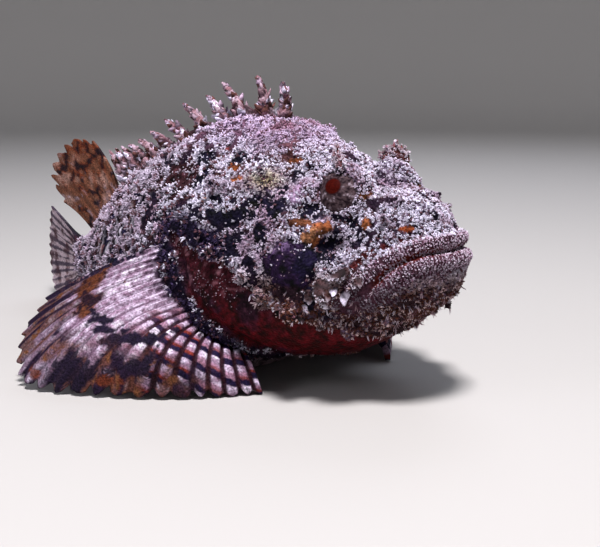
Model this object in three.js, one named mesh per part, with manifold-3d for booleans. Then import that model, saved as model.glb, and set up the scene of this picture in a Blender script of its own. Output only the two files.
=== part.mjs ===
// A life-size false stonefish, a humpbacked scorpionfish, resting on its belly with its
// breast fins spread over the floor. Millimetres, +Z up, head towards +X.
// Every station is a distance behind the tip of the snout, along the fish's middle line.
import * as THREE from "three";
import { mergeVertices } from "three/addons/utils/BufferGeometryUtils.js";
import Module from "manifold-3d";

const wasm = await Module();
wasm.setup();

// Driving sizes
const STANDARD_LENGTH = 186; // snout tip to the root of the tail fin
const TRUNK_END = 150; // where the trunk passes into the tail stalk
const BEND_START = 130; // the body is straight as far as this
const BEND_RADIUS = 250; // and then curves to the fish's left
const GAP = 0.3; // between pieces that touch
const NOSE_LENGTH = 7; // the snout's round front
const GILL_COVER_DEPTH = 12; // from the middle plane to the inner face of a gill cover
const LIP_RADIUS = 2.6;
const LIP_SINK = 0.45; // share of that radius by which a lip's axis lies under the skin
const EYE = { station: 32, left: 12, height: 61.7, radius: 8.5, gaze: [0.21, 0.86, 0.467] };
const LID = { thickness: 0.9, opening: 7.5 };
const DETAIL = { headRings: 32, trunkRings: 10, tailRings: 6, bodySides: 36, tailSides: 20 };
const HEAD_END = 92; // the rings of the body stand closer together in front of this

// Smooth curve through [station, value] pairs, with no overshoot between them
function profile(pairs) {
  const slope = (i) => {
    if (i <= 0 || i >= pairs.length - 1) {
      const k = Math.min(Math.max(i, 1), pairs.length - 1);
      return (pairs[k][1] - pairs[k - 1][1]) / (pairs[k][0] - pairs[k - 1][0]);
    }
    const before = (pairs[i][1] - pairs[i - 1][1]) / (pairs[i][0] - pairs[i - 1][0]);
    const after = (pairs[i + 1][1] - pairs[i][1]) / (pairs[i + 1][0] - pairs[i][0]);
    return before * after <= 0 ? 0 : (2 * before * after) / (before + after);
  };
  return (s) => {
    const last = pairs.length - 1;
    const x = Math.min(Math.max(s, pairs[0][0]), pairs[last][0]);
    let i = 0;
    while (i < last - 1 && x > pairs[i + 1][0]) i += 1;
    const width = pairs[i + 1][0] - pairs[i][0];
    const t = (x - pairs[i][0]) / width;
    const [a, b] = [pairs[i][1], pairs[i + 1][1]];
    const [ma, mb] = [slope(i) * width, slope(i + 1) * width];
    return (
      (2 * t ** 3 - 3 * t ** 2 + 1) * a +
      (t ** 3 - 2 * t ** 2 + t) * ma +
      (3 * t ** 2 - 2 * t ** 3) * b +
      (t ** 3 - t ** 2) * mb
    );
  };
}

// Side and plan outlines of the body: back, underside, half width, and height of the widest place
const backLine = profile([
  [0, 50.5], [3, 53.5], [7, 57.5], [18, 64], [28, 66.5], [40, 73], [53, 79], [67, 83.5], [79, 84],
  [94, 81], [108, 76], [124, 69], [140, 60.5], [154, 50], [168, 38], [178, 32.5], [186, 31],
]);
const undersideLine = profile([
  [0, 35.5], [3, 33], [8, 29.5], [16, 24.5], [25, 17], [34, 12], [44, 9.5], [56, 8], [66, 5],
  [72, 1], [77, -1], [112, -1], [124, 2.5], [136, 6.5], [150, 11], [164, 14], [176, 14], [186, 12.5],
]);
const halfWidth = profile([
  [0, 11], [7.5, 16.5], [15.5, 20.5], [25.5, 25], [40, 30], [55, 34.5], [71, 37.5], [85, 37],
  [99, 33.5], [115, 28.5], [133, 22], [149, 15.5], [165, 9], [177, 5.6], [186, 3.6],
]);
const widestHeight = profile([
  [0, 43.5], [8, 41.5], [25, 38], [45, 34], [72, 32], [100, 31], [136, 31], [161, 26], [186, 21.5],
]);
const upperFullness = profile([[0, 2.2], [26, 2.1], [56, 1.9], [80, 1.75], [126, 1.7], [186, 2]]);
const lowerFullness = profile([[0, 2], [26, 2.1], [56, 2.3], [96, 2.6], [136, 2.2], [186, 2]]);

// The snout closes in a round front over its first stretch
function noseRounding(s) {
  return s < NOSE_LENGTH ? Math.sqrt(1 - (1 - s / NOSE_LENGTH) ** 2) : 1;
}

// Place and heading of the middle line at a station
function middleLine(s) {
  if (s <= BEND_START) return { x: -s, y: 0, heading: 0 };
  const heading = (s - BEND_START) / BEND_RADIUS;
  return {
    x: -BEND_START - BEND_RADIUS * Math.sin(heading),
    y: BEND_RADIUS * (1 - Math.cos(heading)),
    heading,
  };
}

// A point given by its station, its distance to the fish's left and its height
function place(s, left, height) {
  const { x, y, heading } = middleLine(s);
  return new THREE.Vector3(x + left * Math.sin(heading), y + left * Math.cos(heading), height);
}

// Lumps and hollows of the skin, the same on both sides:
// [station, distance from the middle plane, height], [reach along, across, up], rise
const LUMPS = [
  { name: "root of the eye dome", at: [33, 15, 60], reach: [10, 8, 8], rise: 1.5 },
  { name: "dip between the eyes", at: [30, 0, 67], reach: [12, 7, 8], rise: -2.5 },
  { name: "snout ridge", at: [10, 0, 60], reach: [8, 5, 6], rise: 1.5 },
  { name: "nostril mound", at: [16, 8, 60], reach: [5, 4, 5], rise: 2 },
  { name: "hollow before the eye", at: [23, 19, 53], reach: [6, 8, 6], rise: -2 },
  { name: "pit under the eye", at: [27.5, 23, 49], reach: [5, 8, 4.5], rise: -3 },
  { name: "ridge under the eye", at: [42, 28, 54], reach: [14, 9, 3.5], rise: 2 },
  { name: "cheek dome", at: [38, 29, 44], reach: [7, 9, 6.5], rise: 3.5 },
  { name: "rear of the cheek", at: [52, 34, 42], reach: [8, 9, 6], rise: 2 },
  { name: "lower cheek", at: [34, 28, 31], reach: [9, 9, 7], rise: 2 },
  { name: "temple", at: [58, 25, 64], reach: [12, 9, 7], rise: 3 },
  { name: "pit behind the eye", at: [50, 21, 67], reach: [6, 6, 6], rise: -2.5 },
  { name: "nape pit", at: [78, 16, 74], reach: [8, 8, 7], rise: -3.5 },
  { name: "shoulder pit", at: [100, 26, 62], reach: [10, 10, 10], rise: -3 },
  { name: "gill cover crest", at: [76, 36, 52], reach: [12, 9, 8], rise: 3.5 },
  { name: "flank swell", at: [114, 26, 56], reach: [16, 10, 12], rise: 1.5 },
  { name: "chin", at: [9, 0, 30], reach: [8, 12, 6], rise: 1.2 },
];

function lumpRise(s, left, height) {
  return LUMPS.reduce((sum, { at, reach, rise }) => {
    const far =
      ((s - at[0]) / reach[0]) ** 2 +
      ((Math.abs(left) - at[1]) / reach[1]) ** 2 +
      ((height - at[2]) / reach[2]) ** 2;
    return sum + rise * Math.exp(-far);
  }, 0);
}

// The plain outline at a station, by the angle from the back (0) down to the belly (PI)
function plainOutline(s, angle) {
  const middle = widestHeight(s);
  const upper = angle < Math.PI / 2;
  const power = 2 / (upper ? upperFullness(s) : lowerFullness(s));
  const limit = upper ? backLine(s) : undersideLine(s);
  return new THREE.Vector2(
    noseRounding(s) * halfWidth(s) * Math.sin(angle) ** power,
    middle + noseRounding(s) * (limit - middle) * Math.abs(Math.cos(angle)) ** power,
  );
}

// Points evenly spaced round a station, from the back, down the left side and up the right
function plainRing(s, sides) {
  const STEPS = 120;
  const side = Array.from({ length: STEPS + 1 }, (_, k) => plainOutline(s, (Math.PI * k) / STEPS));
  const reach = [0];
  side.slice(1).forEach((p, k) => reach.push(reach[k] + p.distanceTo(side[k])));
  const half = sides / 2;
  const left = Array.from({ length: half + 1 }, (_, k) => {
    const wanted = (reach[STEPS] * k) / half;
    const next = Math.max(1, reach.findIndex((r) => r >= wanted - 1e-9));
    const share = (wanted - reach[next - 1]) / (reach[next] - reach[next - 1]);
    return side[next - 1].clone().lerp(side[next], share);
  });
  const right = left.slice(1, half).reverse().map((p) => new THREE.Vector2(-p.x, p.y));
  return [...left, ...right];
}

// The skin's rings, with its lumps, and raised all over by lift
function skinRings(stations, sides, lift) {
  const flat = stations.map((s) => plainRing(s, sides));
  const rings = flat.map((ring, i) => ring.map((p) => place(stations[i], p.x, p.y)));
  return rings.map((ring, i) =>
    ring.map((point, j) => {
      const [before, after] = [ring.at(j - 1), ring[(j + 1) % ring.length]];
      const [ahead, behind] = [rings[Math.max(i - 1, 0)][j], (rings[i + 1] ?? ring)[j]];
      const outward = after.clone().sub(before).cross(behind.clone().sub(ahead)).normalize();
      const rise = lumpRise(stations[i], flat[i][j].x, flat[i][j].y);
      return point.clone().addScaledVector(outward, lift + rise);
    }),
  );
}

// A closed solid from rings of points, each ring running the same way round
function loft(rings) {
  const sides = rings[0].length;
  const points = rings.flat();
  const middle = (ring) =>
    ring.reduce((sum, p) => sum.add(p), new THREE.Vector3()).divideScalar(ring.length);
  const first = points.push(middle(rings[0])) - 1;
  const last = points.push(middle(rings[rings.length - 1])) - 1;
  const faces = [];
  for (let i = 0; i < rings.length - 1; i += 1) {
    for (let j = 0; j < sides; j += 1) {
      const [a, b] = [i * sides + j, i * sides + ((j + 1) % sides)];
      faces.push([a, b, a + sides], [b, b + sides, a + sides]);
    }
  }
  const end = (rings.length - 1) * sides;
  for (let j = 0; j < sides; j += 1) {
    const next = (j + 1) % sides;
    faces.push([first, next, j], [last, end + j, end + next]);
  }
  return solidFrom(points, faces);
}

// A closed solid from points and triangles, turned to face outwards
function solidFrom(points, faces) {
  const geometry = new THREE.BufferGeometry().setFromPoints(points);
  geometry.setIndex(faces.flat());
  return solidOf(geometry);
}

function solidOf(geometry) {
  const bare = geometry.clone();
  bare.deleteAttribute("normal");
  bare.deleteAttribute("uv");
  const merged = mergeVertices(bare, 1e-4);
  const [vertices, index] = [merged.attributes.position.array, Array.from(merged.index.array)];
  const corner = (k) => new THREE.Vector3().fromArray(vertices, 3 * index[k]);
  let volume = 0;
  const kept = [];
  for (let k = 0; k < index.length; k += 3) {
    if (new Set(index.slice(k, k + 3)).size < 3) continue;
    volume += corner(k).dot(corner(k + 1).cross(corner(k + 2)));
    kept.push(...index.slice(k, k + 3));
  }
  if (volume < 0) kept.reverse();
  const triVerts = Uint32Array.from(kept);
  return new wasm.Manifold(new wasm.Mesh({ numProp: 3, vertProperties: vertices, triVerts }));
}

// The largest closed surface of a solid: it drops scraps and fills sealed hollows
function largest(solid) {
  return solid.decompose().sort((a, b) => b.volume() - a.volume())[0];
}

function joined(solids) {
  return largest(solids.reduce((sum, one) => sum.add(one)));
}

function nodeMesh(name, solid, look) {
  const made = largest(solid).getMesh();
  const geometry = new THREE.BufferGeometry();
  geometry.setAttribute("position", new THREE.BufferAttribute(made.vertProperties, 3));
  geometry.setIndex(new THREE.BufferAttribute(made.triVerts, 1));
  geometry.computeVertexNormals();
  const mesh = new THREE.Mesh(geometry, look);
  mesh.name = name;
  return mesh;
}

// Evenly spaced values, both ends included
function spread(from, to, count) {
  return Array.from({ length: count }, (_, k) => from + ((to - from) * k) / (count - 1));
}

// Head and trunk in one, raised all over by lift
function headAndTrunk(lift) {
  const { headRings, trunkRings, bodySides } = DETAIL;
  const head = spread(0, 1, headRings).map((t) => 0.1 + (HEAD_END - 0.1) * t ** 1.15);
  const trunk = spread(HEAD_END, TRUNK_END, trunkRings).slice(1);
  return loft(skinRings([...head, ...trunk], bodySides, lift));
}

function tailStalk(lift) {
  const stations = spread(TRUNK_END + (lift > 0 ? 0 : GAP), STANDARD_LENGTH, DETAIL.tailRings);
  return loft(skinRings(stations, DETAIL.tailSides, lift));
}

// Place and outward direction on the skin, by station, height and side (1 left, -1 right)
function skinSpot(s, height, side) {
  const angleAt = (station, z) => {
    let [low, high] = [0, Math.PI];
    for (let k = 0; k < 40; k += 1) {
      const middle = (low + high) / 2;
      if (plainOutline(station, middle).y > z) low = middle;
      else high = middle;
    }
    return (low + high) / 2;
  };
  const angle = angleAt(s, height);
  const at = (station, a) => {
    const p = plainOutline(station, a);
    return place(station, side * p.x, p.y);
  };
  const round = at(s, angle + 0.02).sub(at(s, angle - 0.02));
  const along = at(s + 0.5, angle).sub(at(Math.max(s - 0.5, 0.05), angle));
  const outward = round.cross(along).multiplyScalar(side).normalize();
  const flat = plainOutline(s, angle);
  const point = at(s, angle).addScaledVector(outward, lumpRise(s, flat.x, flat.y));
  return { point, outward, left: flat.x };
}

// A round bar along a line of points, with a radius at each
function bar(points, radii, sides) {
  const tangent = (k) =>
    points[Math.min(k + 1, points.length - 1)].clone().sub(points[Math.max(k - 1, 0)]).normalize();
  const first = tangent(0);
  const start = Math.abs(first.z) < 0.9 ? new THREE.Vector3(0, 0, 1) : new THREE.Vector3(1, 0, 0);
  let across = start.sub(first.clone().multiplyScalar(start.dot(first))).normalize();
  return loft(
    points.map((point, k) => {
      const ahead = tangent(k);
      across = across.clone().addScaledVector(ahead, -across.dot(ahead)).normalize();
      const third = ahead.clone().cross(across);
      return Array.from({ length: sides }, (_, j) => {
        const angle = (2 * Math.PI * j) / sides;
        return point
          .clone()
          .addScaledVector(across, radii[k] * Math.cos(angle))
          .addScaledVector(third, radii[k] * Math.sin(angle));
      });
    }),
  );
}

// A blunt thorn that stands on the skin and leans back
function thorn({ point, outward }, length, radius, lean = 0.5) {
  const tip = outward.clone().add(new THREE.Vector3(-lean, 0, 0)).normalize();
  const along = [-1.5, 0.5 * length, length];
  const radii = [1.15 * radius, 0.8 * radius, 0.3 * radius];
  return bar(along.map((d) => point.clone().addScaledVector(tip, d)), radii, 4);
}

// A leaf-like flap of skin: narrow at its root, broad in its middle, hanging as it grows
function flap({ point, outward }, length, width, droop) {
  const hang = outward.clone().add(new THREE.Vector3(-0.4, 0, -droop)).normalize();
  const across = hang.clone().cross(outward).normalize();
  const thin = across.clone().cross(hang);
  const shape = [[-1.8, 0.5, 0.9], [0.3, 0.6, 0.75], [0.65, 1, 0.6], [1, 0.35, 0.45]];
  return loft(
    shape.map(([reach, breadth, depth], k) => {
      const middle = point
        .clone()
        .addScaledVector(k < 2 ? outward.clone().add(hang).normalize() : hang, k ? reach * length : reach);
      return Array.from({ length: 4 }, (_, j) =>
        middle
          .clone()
          .addScaledVector(across, (breadth * width * Math.cos((j * Math.PI) / 2)) / 2)
          .addScaledVector(thin, depth * Math.sin((j * Math.PI) / 2)),
      );
    }),
  );
}

// A fin: a web with a ridge on both faces along each ray, and a notch in its edge between rays.
// at(u, v) is its middle surface, u across the rays and v from root to edge.
function finSheet({ rays, steps, at, rayThick, webThick, notch }) {
  const columns = 2 * rays - 1;
  const faceOf = (side) =>
    Array.from({ length: columns }, (_, k) => {
      const u = k / (columns - 1);
      const onRay = k % 2 === 0;
      return Array.from({ length: steps + 1 }, (_, i) => {
        const v = (i / steps) * (onRay ? 1 : 1 - notch);
        const across = at(Math.min(u + 0.01, 1), v).sub(at(Math.max(u - 0.01, 0), v));
        const along = at(u, Math.min(v + 0.02, 1)).sub(at(u, Math.max(v - 0.02, 0)));
        const normal = across.cross(along).normalize();
        const thick = onRay ? rayThick(v, u) : webThick(v, u);
        return at(u, v).addScaledVector(normal, (side * thick) / 2);
      });
    }).flat();
  const points = [...faceOf(1), ...faceOf(-1)];
  const other = columns * (steps + 1);
  const id = (k, i) => k * (steps + 1) + i;
  const faces = [];
  const wall = (a, b) => faces.push([a, b, b + other], [a, b + other, a + other]);
  for (let k = 0; k < columns - 1; k += 1) {
    for (let i = 0; i < steps; i += 1) {
      const [a, b, c, d] = [id(k, i), id(k + 1, i), id(k + 1, i + 1), id(k, i + 1)];
      faces.push([a, b, c], [a, c, d]);
      faces.push([c + other, b + other, a + other], [d + other, c + other, a + other]);
    }
    wall(id(k + 1, 0), id(k, 0));
    wall(id(k, steps), id(k + 1, steps));
  }
  for (let i = 0; i < steps; i += 1) {
    wall(id(0, i), id(0, i + 1));
    wall(id(columns - 1, i + 1), id(columns - 1, i));
  }
  return solidFrom(points, faces);
}

// Surface of a fin from a few of its rays, each [root, bow at mid length, tip]
function fanOf(keyRays, toPoint) {
  const lines = [0, 1, 2].map(
    (k) => new THREE.CatmullRomCurve3(keyRays.map((ray) => new THREE.Vector3(...ray[k]))),
  );
  return (u, v) => {
    const [root, bow, tip] = lines.map((line) => line.getPoint(u));
    return toPoint(root.clone().lerp(tip, v).addScaledVector(bow, 4 * v * (1 - v)), root);
  };
}

// How a fin's points (station, left, height) are placed: bent with the body, or straight back
// from the station of the ray's root, or given in the fish's own axes for one side
const bentWithBody = (p) => place(p.x, p.y, p.z);
const toSide = (side) => (p) => new THREE.Vector3(p.x, side * p.y, p.z);
function straightFromRoot(p, root) {
  const { heading } = middleLine(root.x);
  const back = new THREE.Vector3(-Math.cos(heading), Math.sin(heading), 0);
  return place(root.x, p.y, p.z).addScaledVector(back, p.x - root.x);
}

// A slab with an outline of [station, height] pairs, from one distance left to another
function slab(outline, from, to) {
  const shape = new THREE.Shape(outline.map(([s, height]) => new THREE.Vector2(s, height)));
  const geometry = new THREE.ExtrudeGeometry(shape, { depth: to - from, bevelEnabled: false });
  geometry.translate(0, 0, from);
  const sideways = new THREE.Matrix4().makeBasis(
    new THREE.Vector3(-1, 0, 0),
    new THREE.Vector3(0, 0, 1),
    new THREE.Vector3(0, 1, 0),
  );
  return solidOf(geometry.applyMatrix4(sideways));
}

// An outline grown outwards by a distance, or shrunk where it is negative
function grown(outline, by) {
  const turning = outline.reduce((sum, [x, y], k) => {
    const [nextX, nextY] = outline[(k + 1) % outline.length];
    return sum + x * nextY - nextX * y;
  }, 0);
  return outline.map((corner, k) => {
    const before = outline.at(k - 1);
    const after = outline[(k + 1) % outline.length];
    const edge = (p, q) => new THREE.Vector2(q[1] - p[1], p[0] - q[0]).normalize();
    const [one, two] = [edge(before, corner), edge(corner, after)];
    const out = one.clone().add(two).normalize();
    const reach = (Math.sign(turning) * by) / Math.max(out.dot(one), 0.3);
    return [corner[0] + reach * out.x, corner[1] + reach * out.y];
  });
}

// Side outlines of the cuts: mouth and lower jaw, gill cover, and the whole head
const mouthLine = [[-6, 48.3], [3, 47.8], [6.5, 45.8], [10, 43.4], [13, 39.8], [16.5, 37], [20, 35]];
const jawOutline = [...mouthLine, [26, 32.5], [31.5, 29], [31, 25], [26, 21], [22, 15], [20, 0], [-6, 0]];
const cheekMargin = [
  [84, 50], [76, 47], [66.8, 43.4], [57, 41], [51, 36.5], [46.6, 31.6], [39.6, 27.4], [33, 24.4],
  [32, 19], [33, 12], [34, -3],
];
const gillEdge = [
  [52, -3], [56, 11], [60.5, 16], [66, 21.5], [70.7, 26.2], [75.5, 31], [77.3, 35.7], [79.5, 41],
  [84.5, 46],
];
const gillOutline = [...cheekMargin, ...gillEdge];
const headOutline = [
  [-20, 110], [62, 110], [65, 84], [71, 72], [79, 60], [85, 52], [84, 45], [76, 33], [66, 22],
  [58, 12], [55, -10], [-20, -10],
];

// Both lips follow the line of the mouth round the front of the snout
function lip(offset) {
  const mouth = profile(mouthLine);
  const reachAt = (s) => {
    const height = mouth(s) + offset;
    const top = widestHeight(s) + noseRounding(s) * (backLine(s) - widestHeight(s));
    const bottom = widestHeight(s) + noseRounding(s) * (undersideLine(s) - widestHeight(s));
    return height > top || height < bottom ? -1 : skinSpot(s, height, 1).left;
  };
  const half = [1.5, 4.5, 8, 12, 15.5, 19].map((left) => {
    let [low, high] = [0.05, 30];
    for (let k = 0; k < 30; k += 1) {
      const middle = (low + high) / 2;
      if (reachAt(middle) < left) low = middle;
      else high = middle;
    }
    const { point, outward } = skinSpot(low, mouth(low) + offset, 1);
    return point.addScaledVector(outward, -LIP_SINK * LIP_RADIUS);
  });
  const other = half.map((p) => new THREE.Vector3(p.x, -p.y, p.z));
  const points = [...other.reverse(), ...half];
  const radii = points.map((_, k) => {
    const along = Math.abs(k - (points.length - 1) / 2) / (points.length / 2);
    return LIP_RADIUS * (1 - 0.45 * along ** 3);
  });
  return bar(points, radii, 6);
}

function eyePlace(side) {
  return new THREE.Vector3(-EYE.station, side * EYE.left, EYE.height);
}

function gazeOf(side) {
  return new THREE.Vector3(EYE.gaze[0], side * EYE.gaze[1], EYE.gaze[2]).normalize();
}

function ball(side, radius) {
  const geometry = new THREE.SphereGeometry(radius, 16, 10);
  geometry.applyQuaternion(
    new THREE.Quaternion().setFromUnitVectors(new THREE.Vector3(0, 1, 0), gazeOf(side)),
  );
  const { x, y, z } = eyePlace(side);
  return solidOf(geometry.translate(x, y, z));
}

// The hole in the skin over an eye, bounded by its lids
function eyeOpening(side) {
  const depth = 2 * EYE.radius;
  const geometry = new THREE.CylinderGeometry(LID.opening, LID.opening, depth, 16);
  geometry.applyQuaternion(
    new THREE.Quaternion().setFromUnitVectors(new THREE.Vector3(0, 1, 0), gazeOf(side)),
  );
  const { x, y, z } = eyePlace(side).addScaledVector(gazeOf(side), depth / 2 + 1);
  return solidOf(geometry.translate(x, y, z));
}

// Thorns of the head: [station, height, length]
const HEAD_THORNS = [
  [21, 64, 2.6], [44, 70.5, 2.8], [51, 73.5, 3], [59, 77.5, 3.2], [31, 49, 2.6], [39, 50.5, 3],
  [55, 41.8, 4], [47, 33.2, 3.8], [40, 28.8, 3.2], [77, 53, 3.2],
];

// Skin flaps of the head: [station, height, length, width, droop]
const HEAD_FLAPS = [
  [22.5, 37.5, 9, 7.5, 1.3], [13, 31, 6, 3.5, 1], [23, 27, 6.5, 4, 1.1], [36, 31, 7, 5, 1],
  [51, 38.5, 7.5, 5.5, 0.8], [63, 44.5, 7.5, 5.5, 0.7], [14, 56, 4.5, 3.5, 0.1],
  [54, 67, 5.5, 4.5, 0], [67, 63, 6, 4.5, 0.2],
];

// Skin flaps along the flank
const TRUNK_FLAPS = [
  [94, 60, 6, 4.5, 0.2], [108, 56.5, 6, 4.5, 0.2], [122, 51.5, 5.5, 4, 0.2], [136, 45, 5, 4, 0.2],
];

const SIDES = { right: -1, left: 1 };
const bothSides = (make) => Object.values(SIDES).flatMap(make);

// A nostril is a short open tube on the side of the snout
function nostril(side) {
  const spot = skinSpot(14.5, 60.5, side);
  const line = (from, to) => [from, to].map((d) => spot.point.clone().addScaledVector(spot.outward, d));
  return bar(line(-1.5, 1.8), [2, 1.5], 8).subtract(bar(line(-0.5, 3), [0.7, 0.9], 6));
}

// Everything on the skin in front of the tail stalk, before it is parted
function wholeFront() {
  const body = headAndTrunk(0);
  const domes = bothSides((side) => [ball(side, EYE.radius + GAP + LID.thickness)]);
  const thorns = bothSides((side) =>
    HEAD_THORNS.map(([s, height, length]) => thorn(skinSpot(s, height, side), length, 1.3)),
  );
  const flaps = bothSides((side) =>
    [...HEAD_FLAPS, ...TRUNK_FLAPS].map(([s, height, length, width, droop]) =>
      flap(skinSpot(s, height, side), length, width, droop),
    ),
  );
  const nostrils = bothSides((side) => [nostril(side)]);
  return joined([body, ...domes, lip(2.5), lip(-2.5), ...thorns, ...flaps, ...nostrils]);
}

const FAR = 90;
const half = GAP / 2;
const front = wholeFront();
const aboveFloor = slab([[-60, 0], [300, 0], [300, 150], [-60, 150]], -150, 150);
const clearOfBody = headAndTrunk(GAP).add(tailStalk(GAP));

function gillSlab(side, by) {
  const [near, far] = [GILL_COVER_DEPTH - by, FAR];
  return slab(grown(gillOutline, by), ...(side > 0 ? [near, far] : [-far, -near]));
}

function head() {
  const jawSlab = slab(grown(jawOutline, half), -FAR, FAR);
  const cuts = [jawSlab, ...bothSides((side) => [gillSlab(side, half), eyeOpening(side)])];
  const sockets = bothSides((side) => [ball(side, EYE.radius + GAP)]);
  const region = front.intersect(slab(grown(headOutline, -half), -FAR, FAR));
  return [...cuts, ...sockets].reduce((solid, cut) => solid.subtract(cut), region);
}

function lowerJaw() {
  return front.intersect(slab(grown(jawOutline, -half), -FAR, FAR));
}

function gillCover(side) {
  return front.intersect(gillSlab(side, -half));
}

function torso() {
  const cuts = [slab(grown(headOutline, half), -FAR, FAR), gillSlab(1, half), gillSlab(-1, half)];
  return cuts.reduce((solid, cut) => solid.subtract(cut), front).intersect(aboveFloor);
}

// Fringed crest over an eye
function eyeTentacle(side) {
  const crown = eyePlace(side).add(new THREE.Vector3(0, side * 2, 7));
  const run = new THREE.Vector3(0.74, side * 0.67, 0);
  const at = (u, v) =>
    crown
      .clone()
      .addScaledVector(run, (u - 0.5) * (7 + 3 * v))
      .add(new THREE.Vector3(-1.5 * v * v, 0, 8.5 * v * (1 - 0.5 * (2 * u - 1) ** 2)));
  const crest = finSheet({
    rays: 5, steps: 2, at, notch: 0.4,
    rayThick: (v) => 1.8 - 1.1 * v,
    webThick: (v) => 1.2 - 0.5 * v,
  });
  return crest.subtract(ball(side, EYE.radius + 2 * GAP + LID.thickness)).subtract(clearOfBody);
}

// Spiny part of the back fin: [station of the root, station and height of the tip]
const BACK_SPINES = [
  [68.5, 68, 95], [75.5, 79.5, 97], [83.5, 96, 94.5], [92, 104, 90], [101.5, 116, 87],
  [110.5, 126, 81], [118.5, 134, 76.5], [125.5, 141, 73], [131.5, 147, 71], [137, 152, 70],
  [142, 156, 69], [146.5, 160.5, 68],
];

function spinyBackFin() {
  const keyRays = BACK_SPINES.map(([root, tip, height]) => [
    [root, 0, backLine(root) - 4], [-1.2, 0, 0.6], [tip, 0, height],
  ]);
  const at = fanOf(keyRays, bentWithBody);
  const share = (k) => k / (BACK_SPINES.length - 1);
  const web = finSheet({
    rays: 6, steps: 1, at: (u, v) => at(u, 0.55 * v), notch: 0,
    rayThick: (v) => 1.5 - 0.5 * v,
    webThick: (v) => 1.5 - 0.5 * v,
  });
  const spines = BACK_SPINES.map((_, k) =>
    bar([0, 0.45, 0.75, 1].map((v) => at(share(k), v)), [2.1, 1.9, 1.5, 0.5], 5),
  );
  const leaves = BACK_SPINES.map((_, k) => {
    const outward = new THREE.Vector3(0.25, k % 2 ? 1 : -1, 0.35).normalize();
    return flap({ point: at(share(k), 0.68), outward }, 4.5, 3.6, -0.6);
  });
  return joined([web, ...spines, ...leaves]).subtract(clearOfBody);
}

// Soft fins on the middle plane: a few key rays as [root, bow, tip], in station, left, height
const softBackRays = [
  [[151.5, 0, 47], [-2, 0, 2], [172, 0, 71.5]],
  [[156, 0, 43.5], [-1.5, 0, 2], [185, -1, 71.5]],
  [[160.5, 0, 40], [-1, 0, 2], [197, -2.5, 65]],
  [[165, 0, 35.5], [-1, 0, 2], [203, -3, 55.5]],
  [[169, 0, 32], [-1, 0, 1.5], [196, -2, 45]],
];
const ventRays = [
  [[144, 0, 13], [1, 0, -1.5], [158, 0, 0.8]],
  [[149, 0, 14], [1, 0, -1.5], [171, 0, 0.6]],
  [[154, 0, 15.5], [1, 0, -1.5], [184, 0, 0.8]],
  [[159, 0, 17], [0.5, 0, -1], [190, 0, 3]],
  [[164, 0, 18], [0.5, 0, -1], [187, 0, 7.5]],
];
const tailRays = [
  [[STANDARD_LENGTH + GAP, 0, 14], [0, 0, -1], [222, 0, 0.2]],
  [[STANDARD_LENGTH + GAP, 0, 17.5], [0, 0.6, 0], [228, 0, 9]],
  [[STANDARD_LENGTH + GAP, 0, 21.5], [0, 1, 0], [230, 0, 20]],
  [[STANDARD_LENGTH + GAP, 0, 25.5], [0, 0.6, 0], [228, 0, 31]],
  [[STANDARD_LENGTH + GAP, 0, 29.5], [0, 0, 1], [223, 0, 40]],
];

function softFin(keyRays, rays, steps, root = 1.9) {
  return finSheet({
    rays, steps, at: fanOf(keyRays, straightFromRoot), notch: 0.06,
    rayThick: (v) => 0.9 + (root - 0.9) * (1 - v) ** 1.5,
    webThick: (v) => 0.6 + (root - 1.2) * (1 - v) ** 3,
  });
}

// The tail fin's fleshy root thins out quickly behind the end of the stalk
function tailFin() {
  const swell = (v) => 4.2 * Math.max(0, 1 - v / 0.3) ** 2;
  return finSheet({
    rays: 12, steps: 6, at: fanOf(tailRays, bentWithBody), notch: 0.05,
    rayThick: (v) => 0.9 + 0.9 * (1 - v) + swell(v),
    webThick: (v) => 0.6 + 0.5 * (1 - v) + swell(v),
  }).intersect(aboveFloor);
}

// Right breast fin spread over the floor; the left one is its mirror image, a little further
// forward at its edge. Each key ray is [root, bow at mid length, tip].
function breastFin(side, forward) {
  const keyRays = [
    [[-88, 32, 44.5], [1, 3.5, 1], [-123.5, 56, 24]],
    [[-88, 33.5, 38], [1, 5, 3], [-124, 66, 12]],
    [[-84.5, 34, 31], [0, 6, 5], [-111, 74, 1]],
    [[-78, 33, 24], [1, 6, 6], [-88, 65, 0.4]],
    [[-73, 29.5, 17], [3, 5.5, 5], [-65, 47.5, 0.4]],
    [[-69, 22, 11], [4, 3.5, 3], [-51, 28, 0.4]],
  ];
  const at = fanOf(keyRays, toSide(side));
  const moved = (u, v) => at(u, v).add(new THREE.Vector3(forward * v * u, 0, 0));
  const thickRoot = (v) => 3 * Math.max(0, 1 - v / 0.25) ** 1.5;
  return finSheet({
    rays: 18, steps: 7, at: moved, notch: 0.05,
    rayThick: (v, u) => 1 + (0.8 + 1.2 * u) * (1 - 0.7 * v) + thickRoot(v),
    webThick: (v) => 0.8 + 0.4 * (1 - v) + thickRoot(v),
  })
    .subtract(clearOfBody)
    .intersect(aboveFloor);
}

// Belly fin, folded back along the floor beside the belly
function bellyFin(side) {
  const keyRays = [
    [[-63, 17, 11], [0, 2.5, -1.8], [-80, 42, 0.8]],
    [[-65, 15.5, 10.5], [0, 2.5, -2.5], [-95, 44, 0.8]],
    [[-67, 14, 10], [0, 3, -3], [-104, 36, 0.8]],
  ];
  return finSheet({
    rays: 6, steps: 5, at: fanOf(keyRays, toSide(side)), notch: 0.06,
    rayThick: (v) => 2.6 - 1.4 * v,
    webThick: (v) => 1.6 - 0.8 * v,
  })
    .subtract(clearOfBody)
    .intersect(aboveFloor);
}

const look = (color, roughness) => new THREE.MeshStandardMaterial({ color, roughness, metalness: 0 });
const skinLook = look(0x8c7f96, 0.75);
const gillLook = look(0x54242c, 0.6);
const finLook = look(0xa592a8, 0.7);
const eyeLook = look(0x6b4a38, 0.2);

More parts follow.
